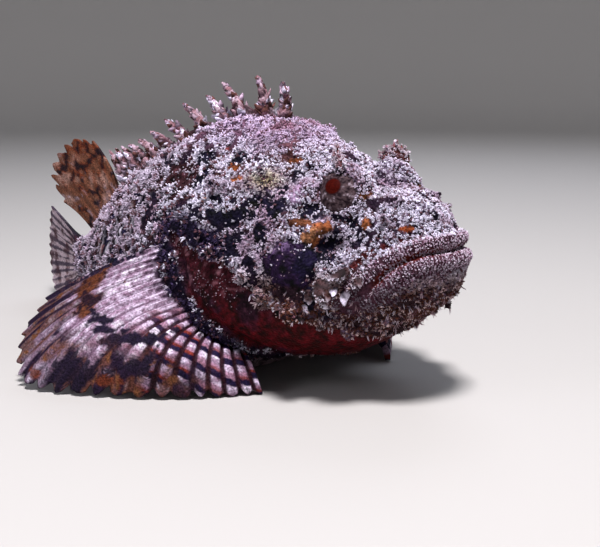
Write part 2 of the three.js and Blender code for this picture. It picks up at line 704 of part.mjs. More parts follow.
const fish = new THREE.Group();
fish.add(nodeMesh("head", head(), skinLook));
fish.add(nodeMesh("lower_jaw", lowerJaw(), skinLook));
fish.add(nodeMesh("torso", torso(), skinLook));
fish.add(nodeMesh("tail_stalk", tailStalk(0), skinLook));
for (const [name, side] of Object.entries(SIDES)) {
  fish.add(nodeMesh(`gill_cover_${name}`, gillCover(side), gillLook));
  fish.add(nodeMesh(`eye_${name}`, ball(side, EYE.radius), eyeLook));
  fish.add(nodeMesh(`eye_tentacle_${name}`, eyeTentacle(side), skinLook));
  fish.add(nodeMesh(`pectoral_fin_${name}`, breastFin(side, side > 0 ? 6 : 0), finLook));
  fish.add(nodeMesh(`pelvic_fin_${name}`, bellyFin(side), finLook));
}
fish.add(nodeMesh("dorsal_fin_spiny", spinyBackFin(), skinLook));
fish.add(nodeMesh("dorsal_fin_soft", softFin(softBackRays, 9, 5).subtract(clearOfBody), finLook));
fish.add(nodeMesh("anal_fin", softFin(ventRays, 8, 4).subtract(clearOfBody).intersect(aboveFloor), finLook));
fish.add(nodeMesh("caudal_fin", tailFin(), finLook));

// The origin is on the floor, under the middle of the whole fish
const box = new THREE.Box3().setFromObject(fish);
const middle = box.getCenter(new THREE.Vector3());
fish.position.set(-middle.x, -middle.y, -box.min.z);

export default fish;
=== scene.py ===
"""A life-size still model of a false stonefish, at rest on its belly, as a museum shows it.

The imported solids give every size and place. Each section finishes one part of the fish, in
the order of assembly. Places on the fish are (station, left, height) in millimetres: how far
behind the tip of the snout, how far left of the middle plane, and how high above the floor.
"""

import math

import bpy
import numpy as np
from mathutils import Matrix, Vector, geometry
from mathutils.bvhtree import BVHTree


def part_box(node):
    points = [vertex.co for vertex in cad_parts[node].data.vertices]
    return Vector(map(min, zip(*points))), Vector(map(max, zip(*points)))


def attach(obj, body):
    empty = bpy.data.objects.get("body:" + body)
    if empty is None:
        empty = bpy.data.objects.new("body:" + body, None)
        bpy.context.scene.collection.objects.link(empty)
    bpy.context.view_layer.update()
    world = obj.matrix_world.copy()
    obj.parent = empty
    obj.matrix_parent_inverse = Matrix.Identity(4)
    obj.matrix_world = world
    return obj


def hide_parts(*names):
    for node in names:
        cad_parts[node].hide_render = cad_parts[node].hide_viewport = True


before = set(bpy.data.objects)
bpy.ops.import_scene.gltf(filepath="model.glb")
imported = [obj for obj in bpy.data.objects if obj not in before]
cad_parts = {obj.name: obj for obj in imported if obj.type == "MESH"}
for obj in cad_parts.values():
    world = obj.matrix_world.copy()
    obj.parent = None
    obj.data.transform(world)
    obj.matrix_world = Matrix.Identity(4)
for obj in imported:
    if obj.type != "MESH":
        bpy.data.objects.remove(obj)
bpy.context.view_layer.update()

# The floor under the model and the light on it: a plain pale sweep and large soft lamps,
# the strongest above and in front of the head, as the light falls in the photograph.
# The camera looks down a little on the fish's right cheek.
MM = 0.001
COVE_RADIUS = 1.3
COVE_STEPS = [(1.08, 0.01), (1.07, 0.04), (1.05, 0.1), (1.03, 0.2), (1.01, 0.5), (1, 0.8)]
FLOOR_PALE = (0.46, 0.45, 0.44, 1)
CAMERA_AIM = Vector((52.7, 0, 33)) * MM
CAMERA_TURN, CAMERA_RISE = math.radians(41.9), math.radians(10.9)
CAMERA_DISTANCE = 362 * MM
CAMERA_LENS = 66
ROOM_COLOUR = (0.8, 0.84, 0.95, 1)
ROOM_LIGHT = 0.2
LAMPS = {
    "key": {"at": (0.26, -0.2, 0.82), "width": 0.16, "power": 12.5, "colour": (1, 0.96, 0.97)},
    "fill": {"at": (-0.3, -0.8, 0.4), "width": 0.5, "power": 1.9, "colour": (0.92, 0.92, 1)},
    "back": {"at": (-0.3, 0.6, 0.7), "width": 0.5, "power": 2.4, "colour": (0.85, 0.88, 1)},
}


def towards(turn, rise):
    """The direction from the fish to a viewer at that turn about it and rise above it."""
    flat = math.cos(rise)
    return Vector((math.sin(turn) * flat, -math.cos(turn) * flat, math.sin(rise)))


def plain_material(name, colour, roughness):
    """A material of one colour, for the floor alone."""
    material = bpy.data.materials.new(name)
    material.use_nodes = True
    shader = material.node_tree.nodes["Principled BSDF"]
    shader.inputs["Base Color"].default_value = colour
    shader.inputs["Roughness"].default_value = roughness
    return material


bpy.ops.object.select_all(action="DESELECT")
bpy.ops.mesh.primitive_circle_add(vertices=96, radius=COVE_RADIUS, fill_type="NGON")
floor = bpy.context.object
floor.name = "floor"
bpy.ops.object.mode_set(mode="EDIT")
bpy.ops.mesh.select_all(action="SELECT")
for wider, higher in COVE_STEPS:
    bpy.ops.mesh.region_to_loop()
    bpy.ops.mesh.extrude_region_move(TRANSFORM_OT_translate={"value": (0, 0, higher)})
    bpy.ops.transform.resize(value=(wider, wider, 1), center_override=(0, 0, 0))
    bpy.ops.mesh.select_all(action="SELECT")
bpy.ops.mesh.normals_make_consistent(inside=True)
bpy.ops.object.mode_set(mode="OBJECT")
bpy.ops.object.shade_smooth()
floor.data.materials.append(plain_material("pale_floor", FLOOR_PALE, 0.8))

for name, lamp in LAMPS.items():
    bpy.ops.object.light_add(type="AREA", location=lamp["at"])
    light = bpy.context.object
    light.name = "lamp_" + name
    light.data.size = lamp["width"]
    light.data.energy = lamp["power"]
    light.data.color = lamp["colour"]
    light.rotation_euler = (CAMERA_AIM - light.location).to_track_quat("-Z", "Y").to_euler()

world = bpy.data.worlds.new("room")
world.use_nodes = True
background = world.node_tree.nodes["Background"]
background.inputs["Color"].default_value = ROOM_COLOUR
background.inputs["Strength"].default_value = ROOM_LIGHT
bpy.context.scene.world = world
bpy.context.scene.view_settings.view_transform = "Standard"

camera_side = towards(CAMERA_TURN, CAMERA_RISE)
bpy.ops.object.camera_add(location=CAMERA_AIM + camera_side * CAMERA_DISTANCE)
camera = bpy.context.object
camera.rotation_euler = (-camera_side).to_track_quat("-Z", "Y").to_euler()
camera.data.lens = CAMERA_LENS
camera.data.clip_start = 0.01
bpy.context.scene.camera = camera

# The skin is one piece over head, jaw, gill covers, trunk and tail stalk: thick loose hide,
# cast over the solids, then shaped with lips, pits, cheek domes and the smooth gill
# membrane. It is painted matt, in the colours of the living fish under water, with painted
# shade under the head, in the cleft behind the gill membrane and on the front and under side
# of the cheek's dome, and a painted highlight on the dome's top.
FLESH = ["head", "lower_jaw", "torso", "tail_stalk", "gill_cover_right", "gill_cover_left"]
SKIN_LAP = 0.22 * MM  # closes the thin cuts between the solids
SKIN_GRAIN = 0.74 * MM
SKIN_ROUNDS = 26  # of smoothing
LID_FIRMNESS = 0.12  # of that smoothing, round the lids
PLEAT_WIDTH = 1.05
PLEAT_RELIEF = 0.32 * MM
PLEAT_PALE = (0.56, 0.38, 0.52, 1)
MATTE_SHINE = 0.06  # the hide has no gloss under water
COAT_DEPTH = 0.6  # the hide lies this far inside the solids where filaments cover it
LID_OPEN = 48  # degrees from the line of sight to the socket's edge in the solids
LID_RIM = [  # turn about the line of sight, 0 upward and 90 forward, and the lid's edge there
    (-180, 46), (-135, 38), (-90, 28), (-45, 24), (0, 22), (45, 28), (90, 38), (135, 46), (180, 46),
]
LID_FAR = 84  # degrees from the line of sight to where the lid meets the dome
CORNEA_ANGLE, CORNEA_RISE = 40, 0.55
BALL_CLEARANCE = 0.5  # of the hide over the ball's far side
EYE = {"station": 32, "left": 12, "height": 61.7, "radius": 8.5, "gaze": (0.21, 0.86, 0.467)}
BEND_START, BEND_RADIUS = 130, 250  # the body is straight, then bends to its left
MOUTH = [
    (0.2, 0, 48), (0.4, 3, 48), (1, 6, 47.9), (3, 10.9, 47.8), (6.5, 15.9, 45.8),
    (10, 18, 43.4), (13, 19.3, 39.8), (16.5, 20.6, 37), (20, 21.7, 35),
]
LIP_CREASE = [(2, 8, 54.4), (5.7, 12, 52.4), (11, 16.6, 50), (16.4, 19.9, 47.5), (20.5, 21.5, 43)]
CHEEK_MARGIN = [
    (84, 50), (76, 47), (66.8, 43.4), (57, 41), (51, 36.5), (46.6, 31.6), (39.6, 27.6),
    (35, 26), (30, 24.6), (24.5, 23.4), (21.5, 20), (22, 12), (24, -3),
]
GILL_EDGE = [
    (52, -3), (56, 11), (60.5, 16), (66, 21.5), (70.7, 26.2), (75.5, 31), (77.3, 35.7),
    (79.5, 41), (84.5, 46),
]
FORMS = [  # hollows and swellings: place, reach and rise
    ((37.3, 28, 43), (6, 8, 6), 2.6),  # cheek dome
    ((27.5, 23.5, 49), (3.6, 6, 3), -3),  # pit under the eye
    ((24, 20, 55), (2.2, 6, 2.2), -1.4),  # pit before the eye
    ((38, 23, 58.6), (4.5, 6, 1.8), -1.9),  # pit behind the eye
    ((41.4, 22, 63), (2.6, 6, 4.4), 1.5),  # ridge behind the eye
    ((32, 25, 53), (5, 7, 2.4), 1.3),  # plate under the eye
    ((19.4, 16.6, 55.5), (1.5, 4, 1.9), 1.2),  # knob before the eye
    ((12.6, 12.6, 57.6), (1.8, 4, 1.2), 0.9),  # snout bump
    ((20.8, 23, 38.6), (2.2, 5, 4), 1.4),  # upper jaw's end
    ((25.5, 26.5, 34.5), (4, 6, 3.4), 1.3),  # jaw plate
    ((31, 29, 33), (2, 5, 4), -1.1),  # hollow by the jaw plate
    ((60, 10, 80), (6, 8, 6), 1.6),  # nape knob
    ((68, 22, 72), (5, 6, 2.4), -1.6),  # hollow behind the nape
    ((88, 25, 65), (6, 7, 5), -1.8),  # shoulder hollow
    ((121, 15, 61), (8, 9, 5), 1.2),  # flank rosette
]
INK = (0.004, 0.003, 0.01)
PLUM = (0.018, 0.008, 0.018)
MAUVE = (0.22, 0.15, 0.25)
FROST = (0.82, 0.76, 0.9)
ROSE = (0.42, 0.2, 0.32)
RUST = (0.18, 0.056, 0.022)
TAN = (0.21, 0.095, 0.048)
MAROON = (0.036, 0.005, 0.009)
GARNET = (0.054, 0.003, 0.005)
CHESTNUT = (0.055, 0.02, 0.017)
# painted shade under the head
JOWL_SHADE = (0.024, 0.009, 0.011)
REAR_BLUE = (0.016, 0.014, 0.05)
REAR_BROWN = (0.16, 0.06, 0.05)
GILL_INK = (0.014, 0.006, 0.014)
GILL_SPECKS = (0.26, 0.12, 0.15)
# painted shade in the cleft behind the gill membrane
GILL_CLEFT_SHADE = (0.006, 0.004, 0.014)
LIP = (0.05, 0.018, 0.03)
GAPE_RED = (0.09, 0.012, 0.009)
CREASE_RED = (0.09, 0.013, 0.012)
BELLY = (0.36, 0.26, 0.3)
DOME = (37.6, 28.4, 42.4), (7.6, 9, 7.8)  # place and reach of the smooth dome on the cheek
# place and reach of the dome's front side, smooth like the dome and painted darker as shade
DOME_SHADED_SIDE = (32.6, 27, 43.4), (3, 6, 4.8)
PATCHES = [  # place, reach, colour, and how far the filaments leave the hide bare
    ((37.3, 25.9, 55), (3.8, 6, 1.1), (0.1, 0.034, 0.016), 1),
    ((30.6, 23.4, 53.6), (2.6, 5, 1.7), RUST, 1),
    ((33.2, 25, 51), (2.6, 5, 2.4), TAN, 1),
    ((31, 25.9, 49.4), (1.6, 5, 1.8), RUST, 1),
    ((19.4, 16.6, 55.4), (1.5, 4, 2), RUST, 1),
    ((8.6, 12, 54.4), (1.9, 4, 0.9), (0.15, 0.032, 0.01), 1),
    ((22.5, 12, 62.5), (1.1, 4, 1.1), (0.1, 0.035, 0.016), 0.7),
    ((49.1, 15, 71.9), (2.2, 5, 0.9), (0.12, 0.035, 0.014), 0.8),
    ((66.5, 22.5, 69.6), (3.6, 6, 1.4), (0.15, 0.04, 0.012), 0.9),
    ((61.5, 24, 66.4), (3.4, 6, 1.4), RUST, 0.7),
    ((72, 28, 59), (2, 5, 1.4), TAN, 0.7),
    ((78, 20, 74), (1.8, 5, 2.2), (0.1, 0.018, 0.02), 0.5),
    (*DOME, (0.014, 0.006, 0.024), 1),
    # painted highlight: a paler sheen on the top of the cheek's dome
    ((40.5, 27, 47.6), (3.4, 7, 2.2), (0.075, 0.045, 0.1), 1),
    # painted shade on the front side of the cheek's dome
    (*DOME_SHADED_SIDE, (0.006, 0.004, 0.016), 1),
    # painted shade under the cheek's dome
    ((38, 29.6, 34.6), (6.4, 7, 2.4), (0.022, 0.01, 0.016), 0.75),
    ((27.8, 24, 48.2), (3.8, 6, 3.4), INK, 1),
    ((24, 20, 55.2), (2.6, 6, 1.8), INK, 0.8),
    ((29, 20.4, 56.6), (4, 5, 0.9), INK, 0.8),
    ((38, 23.5, 58.6), (4.6, 6, 1.9), INK, 0.9),
    ((41.4, 22, 63), (2.2, 5, 3.6), (0.32, 0.22, 0.34), 0.55),
    ((46, 27, 58.4), (2.4, 5, 3.2), INK, 0.8),
    ((51.5, 28.6, 60), (3.4, 5, 1.9), INK, 0.8),
    ((48.7, 31.5, 51.6), (2.2, 5, 3), INK, 0.85),
    ((55.5, 31, 56), (4.4, 6, 2.2), INK, 0.8),
    ((64, 31, 55), (4, 6, 1.8), INK, 0.7),
    ((20.8, 23, 38.8), (1.7, 5, 3.4), (0.2, 0.1, 0.1), 1),
    ((25.4, 26.5, 35), (3.2, 6, 2.8), (0.11, 0.045, 0.04), 1),
    ((31.4, 29, 33), (1.8, 5, 4), INK, 0.9),
    ((43.1, 31.1, 28.4), (3.4, 6, 1.6), INK, 0.9),
    ((27, 24, 28.4), (3, 6, 1.4), INK, 0.9),
    ((68, 22, 72.2), (5.4, 8, 1.9), INK, 0.8),
    ((92, 24, 63), (11, 11, 7.6), (0.034, 0.012, 0.016), 0.86),
    ((84.5, 21, 71.5), (4, 8, 3), INK, 0.8),
    ((80, 27, 66), (3.4, 6, 4.4), INK, 0.7),
    ((96, 30, 52), (6, 8, 3), INK, 0.6),
]
RIMS = [  # pale edges of the plates of the jaw and the cheek
    [(29.6, 27, 33.4), (27.6, 26, 31.4), (24.6, 25.4, 30.6), (21.8, 24.4, 31.6)],
    [(22.4, 23, 36), (21.6, 22.4, 34), (19.8, 22, 34), (19, 21.8, 36)],
    [(50, 34, 34), (46.4, 32.3, 31), (43, 31.6, 30.6), (40, 31, 29)],
]

eye_low, eye_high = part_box("eye_right")
SNOUT_X = (eye_low.x + eye_high.x) / 2 + EYE["station"] * MM


def place(spots):
    """Points of the model, in metres, at these stations, distances left and heights."""
    station, left, height = np.asarray(spots, float).reshape(-1, 3).T
    turn = np.maximum(station - BEND_START, 0) / BEND_RADIUS
    x = -np.minimum(station, BEND_START) - (BEND_RADIUS - left) * np.sin(turn)
    y = BEND_RADIUS - (BEND_RADIUS - left) * np.cos(turn)
    return np.stack([x, y, height], 1) * MM + [SNOUT_X, 0, 0]


def spots_of(points):
    """The stations, distances left and heights, in millimetres, of points of the model."""
    x, y, height = ((points - [SNOUT_X, 0, 0]) / MM).T
    behind = np.maximum(-x - BEND_START, 0)
    bent = behind > 0
    turn = np.arctan2(behind, BEND_RADIUS - y)
    station = np.where(bent, BEND_START + turn * BEND_RADIUS, -x)
    left = np.where(bent, BEND_RADIUS - np.hypot(behind, BEND_RADIUS - y), y)
    return np.stack([station, left, height], 1)


def cloud(spots, size, seed):
    """Smooth random value from -1 to 1 at each spot, in lumps about that size across."""
    cell = np.floor(spots / size + 31.7 * seed)
    part = spots / size + 31.7 * seed - cell
    part = part * part * (3 - 2 * part)
    total = np.zeros(len(spots))
    for corner in np.ndindex(2, 2, 2):
        x, y, z = (cell.astype(np.int64) + corner).T
        mixed = (x * 73856093 ^ y * 19349663 ^ z * 83492791 ^ seed * 2654435) & 0xFFFFFFFF
        mixed = ((mixed ^ (mixed >> 15)) * 2246822519) & 0xFFFFFFFF
        mixed = ((mixed ^ (mixed >> 13)) * 3266489917) & 0xFFFFFFFF
        value = (mixed >> 8 & 0xFFFF) / 32767.5 - 1
        total += value * np.where(corner, part, 1 - part).prod(1)
    return total


def step(low, high, value):
    """0 below low, 1 above high and smooth between."""
    share = np.clip((value - low) / (high - low), 0, 1)
    return share * share * (3 - 2 * share)


def folded(spots):
    """The spots with the left side laid over the right, for lines drawn on one side."""
    return spots * [1, 0, 1] + np.abs(spots) * [0, 1, 0]


def bump(spots, at, reach):
    """1 at a place and its twin on the other side, falling to 0 over that reach."""
    return np.exp(-(((folded(spots) - at) / reach) ** 2).sum(1))


def to_line(spots, line):
    """How far each spot is from a line of points, and how far along it the nearest place is."""
    line = np.asarray(line, float)
    away = np.full(len(spots), np.inf)
    along = np.zeros(len(spots))
    passed = 0
    for start, end in zip(line[:-1], line[1:]):
        run = end - start
        length = np.linalg.norm(run)
        share = np.clip((spots - start) @ run / length**2, 0, 1)
        gap = np.linalg.norm(spots - start - share[:, None] * run, axis=1)
        nearer = gap < away
        away[nearer] = gap[nearer]
        along[nearer] = passed + share[nearer] * length
        passed += length
    return away, along


def inside(flat, outline):
    """Whether each (station, height) pair lies inside a closed outline."""
    x, z = flat.T
    within = np.zeros(len(flat), bool)
    for (x0, z0), (x1, z1) in zip(outline, outline[1:] + outline[:1]):
        if z0 != z1:
            crossing = x0 + (z - z0) * (x1 - x0) / (z1 - z0)
            within ^= ((z0 > z) != (z1 > z)) & (x < crossing)
    return within


def gill_depth(spots):
    """Millimetres inside the edge of the gill membrane, or outside where negative."""
    flat = spots[:, [0, 2]]
    away = np.minimum(to_line(flat, CHEEK_MARGIN)[0], to_line(flat, GILL_EDGE)[0])
    depth = np.where(inside(flat, CHEEK_MARGIN + GILL_EDGE), away, -away)
    return np.where(np.abs(spots[:, 1]) > np.clip(spots[:, 0] - 34, 0, 12), depth, -20)


def mouth_side(spots):
    """1 over the mouth's gap and -1 under it."""
    line = sorted(MOUTH)
    middle = np.interp(spots[:, 0], [p[0] for p in line], [p[2] for p in line])
    return np.where(spots[:, 2] > middle, 1, -1)


def blend(under, over, share):
    """One colour over another, at that share of it."""
    return under + (np.asarray(over) - under) * np.clip(share, 0, 1)[:, None]


def layered(base, spots, *layers):
    """A base colour at each spot, with others laid over it in turn, each at its share."""
    colours = np.broadcast_to(base, (len(spots), 3))
    for colour, share in layers:
        colours = blend(colours, colour, share)
    return colours


def smoothness(spots):
    """1 where the hide is smooth and bare: domes, lips and gill membrane."""
    smooth = step(0, 1.5, gill_depth(spots))
    for at, reach in (DOME, DOME_SHADED_SIDE):
        smooth = np.maximum(smooth, step(0.35, 0.6, bump(unmatched(spots), at, reach)))
    lips = step(5.6, 4.6, to_line(folded(spots), MOUTH)[0])
    return np.maximum(smooth, lips)


def unevenness(spots):
    """How far a patch's edge wavers at each spot."""
    return 0.16 * cloud(spots, 1.9, 5) + 0.1 * cloud(spots, 0.9, 9)


def in_patch(spots, at, reach, uneven):
    """1 inside a patch of the hide and 0 outside it, with an uneven edge."""
    return step(0.32, 0.42, bump(spots, at, reach) + uneven)


def unmatched(spots):
    """The spots, those on the left side moved a little, so that its marks are not a mirror's."""
    share = step(2, 8, spots[:, 1])[:, None]
    moved = np.stack([cloud(spots, 24, 91), 0 * spots[:, 0], cloud(spots, 24, 92)], 1)
    return spots + share * (moved * [9, 0, 6] + [1.5, 0, 1.5])


def gill_cleft_shade(spots):
    """1 in the cleft between the gill membrane and the breast fin's root, which is painted dark as
    shade.
    """
    depth = gill_depth(spots) + 0.8 * cloud(spots, 2, 6)
    strip = step(-9, -6.5, depth) * step(0.5, -0.5, depth)
    return strip * step(56, 62, spots[:, 0]) * step(60, 52, spots[:, 2])


def frosting(spots):
    """How thickly pale filaments cover the hide at a spot, from 0 to 1."""
    station, _, height = spots.T
    share = 0.6 + 0.08 * step(46, 58, height) * step(75, 60, station)  # the upper face
    share -= 0.08 * step(32, 24, height) * step(60, 40, station)  # the jaw
    share += 0.02 * step(72, 80, height)  # the nape
    # the cheek's rear and the gill cover
    share -= 0.1 * step(44, 54, station) * step(70, 62, height) * step(84, 70, station)
    share -= 0.12 * step(80, 100, station)  # the flanks
    share -= 0.6 * step(12, 4, height)  # the belly
    grain = 0.6 * cloud(spots, 4.5, 3) + 1.4 * cloud(spots, 2.3, 4) + 0.7 * cloud(spots, 1.2, 7)
    cover = step(0.04, -0.04, 0.5 + 0.22 * grain - share)
    uneven = unevenness(spots)
    marked = unmatched(spots)
    for at, reach, _, bare in PATCHES:
        cover *= (1 - bare * in_patch(marked, at, reach, uneven)) ** 2
    for rim in RIMS:
        cover *= step(0.7, 1.4, to_line(folded(spots), rim)[0])
    cover *= step(0.6, 1.3, to_line(folded(spots), LIP_CREASE)[0])
    depth = gill_depth(spots) + 0.8 * cloud(spots, 2, 6)
    cover *= step(1.2, -0.6, depth) * (1 - 0.45 * gill_cleft_shade(spots))
    away = to_line(folded(spots), MOUTH)[0]
    cover *= step(3.4, 5.2, away - np.where(mouth_side(spots) > 0, 0, 2.5))
    return np.clip(cover, 0, 1)


def paint(spots):
    """Colour of the hide at each spot."""
    station, _, height = spots.T
    broad = cloud(spots, 12, 11) + 0.5 * cloud(spots, 6, 12)
    fine = cloud(spots, 2.4, 13) + 0.6 * cloud(spots, 1.2, 14)
    grain = cloud(spots, 1.6, 17) + 0.7 * cloud(spots, 0.9, 18)
    cover = frosting(spots)
    rear = step(104, 122, station) * step(64, 54, height) * step(6, 14, height)
    streaks = np.sin(station / 0.67 + 2.6 * cloud(spots, 6, 16) + height / 9)
    streaks = 0.4 * streaks + 0.9 * cloud(spots * [1.4, 1, 0.5], 2.6, 19) + 0.5 * cloud(spots, 8, 20)
    rosette = bump(spots, (121, 15, 61), (10, 11, 6))
    colour = layered(
        INK, spots,
        (PLUM, step(-0.6, 0.8, broad + 0.5 * fine)),
        (CHESTNUT, step(0.1, 0.9, cloud(spots, 8, 15) + 0.4 * fine)),
        # painted shade under the head: the low front of the head and the jaw darker
        (JOWL_SHADE, 0.85 * step(45, 37, height) * step(50, 30, station)),
        (MAUVE, 0.5 * cover * step(-0.3, 0.5, grain)),
        (ROSE, 0.25 * step(70, 80, height) * step(0.7, -0.2, fine + broad)),
        (FROST, 0.4 * cover * step(0.35, 0.8, grain) * step(24, 40, height)),
        (REAR_BLUE, 0.9 * rear * step(0.2, 0.7, streaks)),
        (FROST, 0.6 * rear * step(0.2, 0.8, -streaks)),
        (REAR_BROWN, 0.5 * rear * step(0.4, 0.8, fine)),
        (FROST, 0.35 * step(0.4, 0.8, rosette + 0.4 * fine)),
    )
    uneven = unevenness(spots)
    marked = unmatched(spots)
    for at, reach, patch_colour, _ in PATCHES:
        shade = np.asarray(patch_colour) * np.clip(1 + 1.1 * grain[:, None], 0.15, 2.6)
        colour = blend(colour, shade, in_patch(marked, at, reach, uneven))
    for rim in RIMS:
        edge = to_line(folded(spots), rim)[0] + 0.3 * grain
        colour = blend(colour, FROST, 0.85 * step(1.1, 0.5, edge))
    membrane = layered(
        MAROON, spots,
        (GARNET, step(36, 24, height + 3 * broad)),
        (GILL_INK, 0.8 * step(0, 0.8, broad + 0.5 * fine)),
    )
    membrane = membrane * np.clip(1 + grain, 0.2, 2.2)[:, None]
    membrane = blend(membrane, GILL_SPECKS, 0.6 * (step(0.45, 0.8, grain) * step(24, 40, height)))
    mouth_away = to_line(folded(spots), MOUTH)[0]
    lip_reach = np.where(mouth_side(spots) > 0, 5, 8.5)
    crease_away = to_line(folded(spots), LIP_CREASE)[0]
    colour = layered(
        colour, spots,
        (membrane, step(-0.2, 0.8, gill_depth(spots) + 0.4 * fine)),
        # painted shade in the cleft behind the gill membrane
        (GILL_CLEFT_SHADE, 0.92 * gill_cleft_shade(spots)),
        (LIP, step(lip_reach + 1, lip_reach - 1, mouth_away + 0.6 * fine)),
        (GAPE_RED, step(1.5, 0.9, mouth_away) * step(16, 13, station)),
        (CREASE_RED, 0.85 * step(1.5, 0.5, crease_away + 0.4 * grain)),
        (BELLY, 0.8 * step(9, 3, height) * step(0.9, -0.5, fine)),
    )
    return np.clip(colour, 0.003, 1)


def eye_places(side):
    """Centre of an eye, and its line of sight, in the row frame."""
    centre = Vector(place([(EYE["station"], side * EYE["left"], EYE["height"])])[0])
    gaze = Vector((EYE["gaze"][0], side * EYE["gaze"][1], EYE["gaze"][2])).normalized()
    return centre, gaze


def choose(piece):
    """Makes a piece the only selected object, and the active one."""
    bpy.ops.object.select_all(action="DESELECT")
    piece.select_set(True)
    bpy.context.view_layer.objects.active = piece


def join(pieces):
    """Makes one object of several, the first of them, and gives it back."""
    bpy.ops.object.select_all(action="DESELECT")
    for piece in pieces:
        piece.select_set(True)
    bpy.context.view_layer.objects.active = pieces[0]
    bpy.ops.object.join()
    return pieces[0]


def apply_all(piece):
    choose(piece)
    for modifier in list(piece.modifiers):
        bpy.ops.object.modifier_apply(modifier=modifier.name)


def cast_over(piece, grain):
    """Recasts a piece as one closed surface, with faces about that size."""
    cast = piece.modifiers.new("cast", "REMESH")
    cast.mode = "VOXEL"
    cast.voxel_size = grain
    apply_all(piece)


def read_points(mesh):
    flat = np.zeros(3 * len(mesh.vertices))
    mesh.vertices.foreach_get("co", flat)
    return flat.reshape(-1, 3)


def read_normals(mesh):
    flat = np.zeros(3 * len(mesh.vertices), np.float32)
    mesh.vertices.foreach_get("normal", flat)
    return flat.reshape(-1, 3).astype(float)


def read_triangles(mesh):
    mesh.calc_loop_triangles()
    flat = np.zeros(3 * len(mesh.loop_triangles), np.int32)
    mesh.loop_triangles.foreach_get("vertices", flat)
    return flat.reshape(-1, 3)


def write_points(mesh, points):
    mesh.vertices.foreach_set("co", np.ascontiguousarray(points, np.float32).ravel())
    mesh.update()


def write_colours(mesh, colours):
    layer = mesh.color_attributes.new("Paint", "FLOAT_COLOR", "POINT")
    full = np.concatenate([colours, np.ones((len(colours), 1))], 1)
    layer.data.foreach_set("color", full.astype(np.float32).ravel())


def write_values(mesh, values, name):
    layer = mesh.attributes.new(name, "FLOAT", "POINT")
    layer.data.foreach_set("value", np.asarray(values, np.float32))


def node_copy(node, name, lap=0):
    """A closed copy of a CAD node's mesh, larger all over by the lap, if any."""
    piece = bpy.data.objects.new(name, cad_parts[node].data.copy())
    bpy.context.collection.objects.link(piece)
    choose(piece)
    bpy.ops.object.mode_set(mode="EDIT")
    bpy.ops.mesh.select_all(action="SELECT")
    bpy.ops.mesh.remove_doubles(threshold=0.001 * MM)
    if lap:
        bpy.ops.transform.shrink_fatten(value=lap)
    bpy.ops.object.mode_set(mode="OBJECT")
    return piece


skin = join([node_copy(node, "flesh_" + node, SKIN_LAP) for node in FLESH])
skin.name = "skin"
cast_over(skin, SKIN_GRAIN)

# Softened everywhere except round the lids, whose thin edges stay as cast
spots = spots_of(read_points(skin.data))
eye_middle = (EYE["station"], EYE["left"], EYE["height"])
lid_zone = np.linalg.norm(folded(spots) - eye_middle, axis=1)
outer = (folded(spots) - eye_middle) @ (np.array(EYE["gaze"]) * [-1, 1, 1])
soft = skin.vertex_groups.new(name="soft")
firm = (lid_zone < 11.5) & (outer > 2)
for index, share in enumerate(np.where(firm, LID_FIRMNESS, 1)):
    soft.add([index], float(share), "REPLACE")
rounding = skin.modifiers.new("rounding", "SMOOTH")
rounding.factor = 0.5
rounding.iterations = SKIN_ROUNDS
rounding.vertex_group = "soft"
apply_all(skin)

points = read_points(skin.data)
normals = read_normals(skin.data)
spots = spots_of(points)
rise = -COAT_DEPTH * frosting(spots)
for at, reach, lift in FORMS:
    rise += lift * bump(spots, at, reach)
# The gill membrane lies lower than the cheek, whose edge is raised in front of it
depth = gill_depth(spots)
rise -= 1.1 * step(0, 1.2, depth) * step(6, 1.5, depth)
rise += 1.3 * np.exp(-(((depth + 1.4) / 1.1) ** 2)) * step(60, 50, spots[:, 0] * 0.5 + 20)
# The mouth's gap, the roll of the lips and the crease over them
mouth_away, mouth_along = to_line(folded(spots), MOUTH)
gape = step(15.5, 12, spots[:, 0])
rise -= 2.2 * gape * np.exp(-((mouth_away / 0.9) ** 2))
rise += 0.7 * np.exp(-(((mouth_away - 3.4) / 1.5) ** 2))
rise -= 1.3 * np.exp(-((to_line(folded(spots), LIP_CREASE)[0] / 0.9) ** 2))
for rim in RIMS:
    rise += 0.9 * np.exp(-((to_line(folded(spots), rim)[0] / 0.8) ** 2))
# Lumps all over, fewer on the smooth parts and none where the belly lies on the floor
rough = 1 - smoothness(spots)
flat_belly = step(2.5, 6, spots[:, 2])
rise += rough * flat_belly * (0.75 * cloud(spots, 4.2, 21) + 0.5 * cloud(spots, 2.1, 22))
rise += 0.25 * (1 - rough) * flat_belly * cloud(spots, 3.5, 23)
points = points + normals * (rise * MM)[:, None]
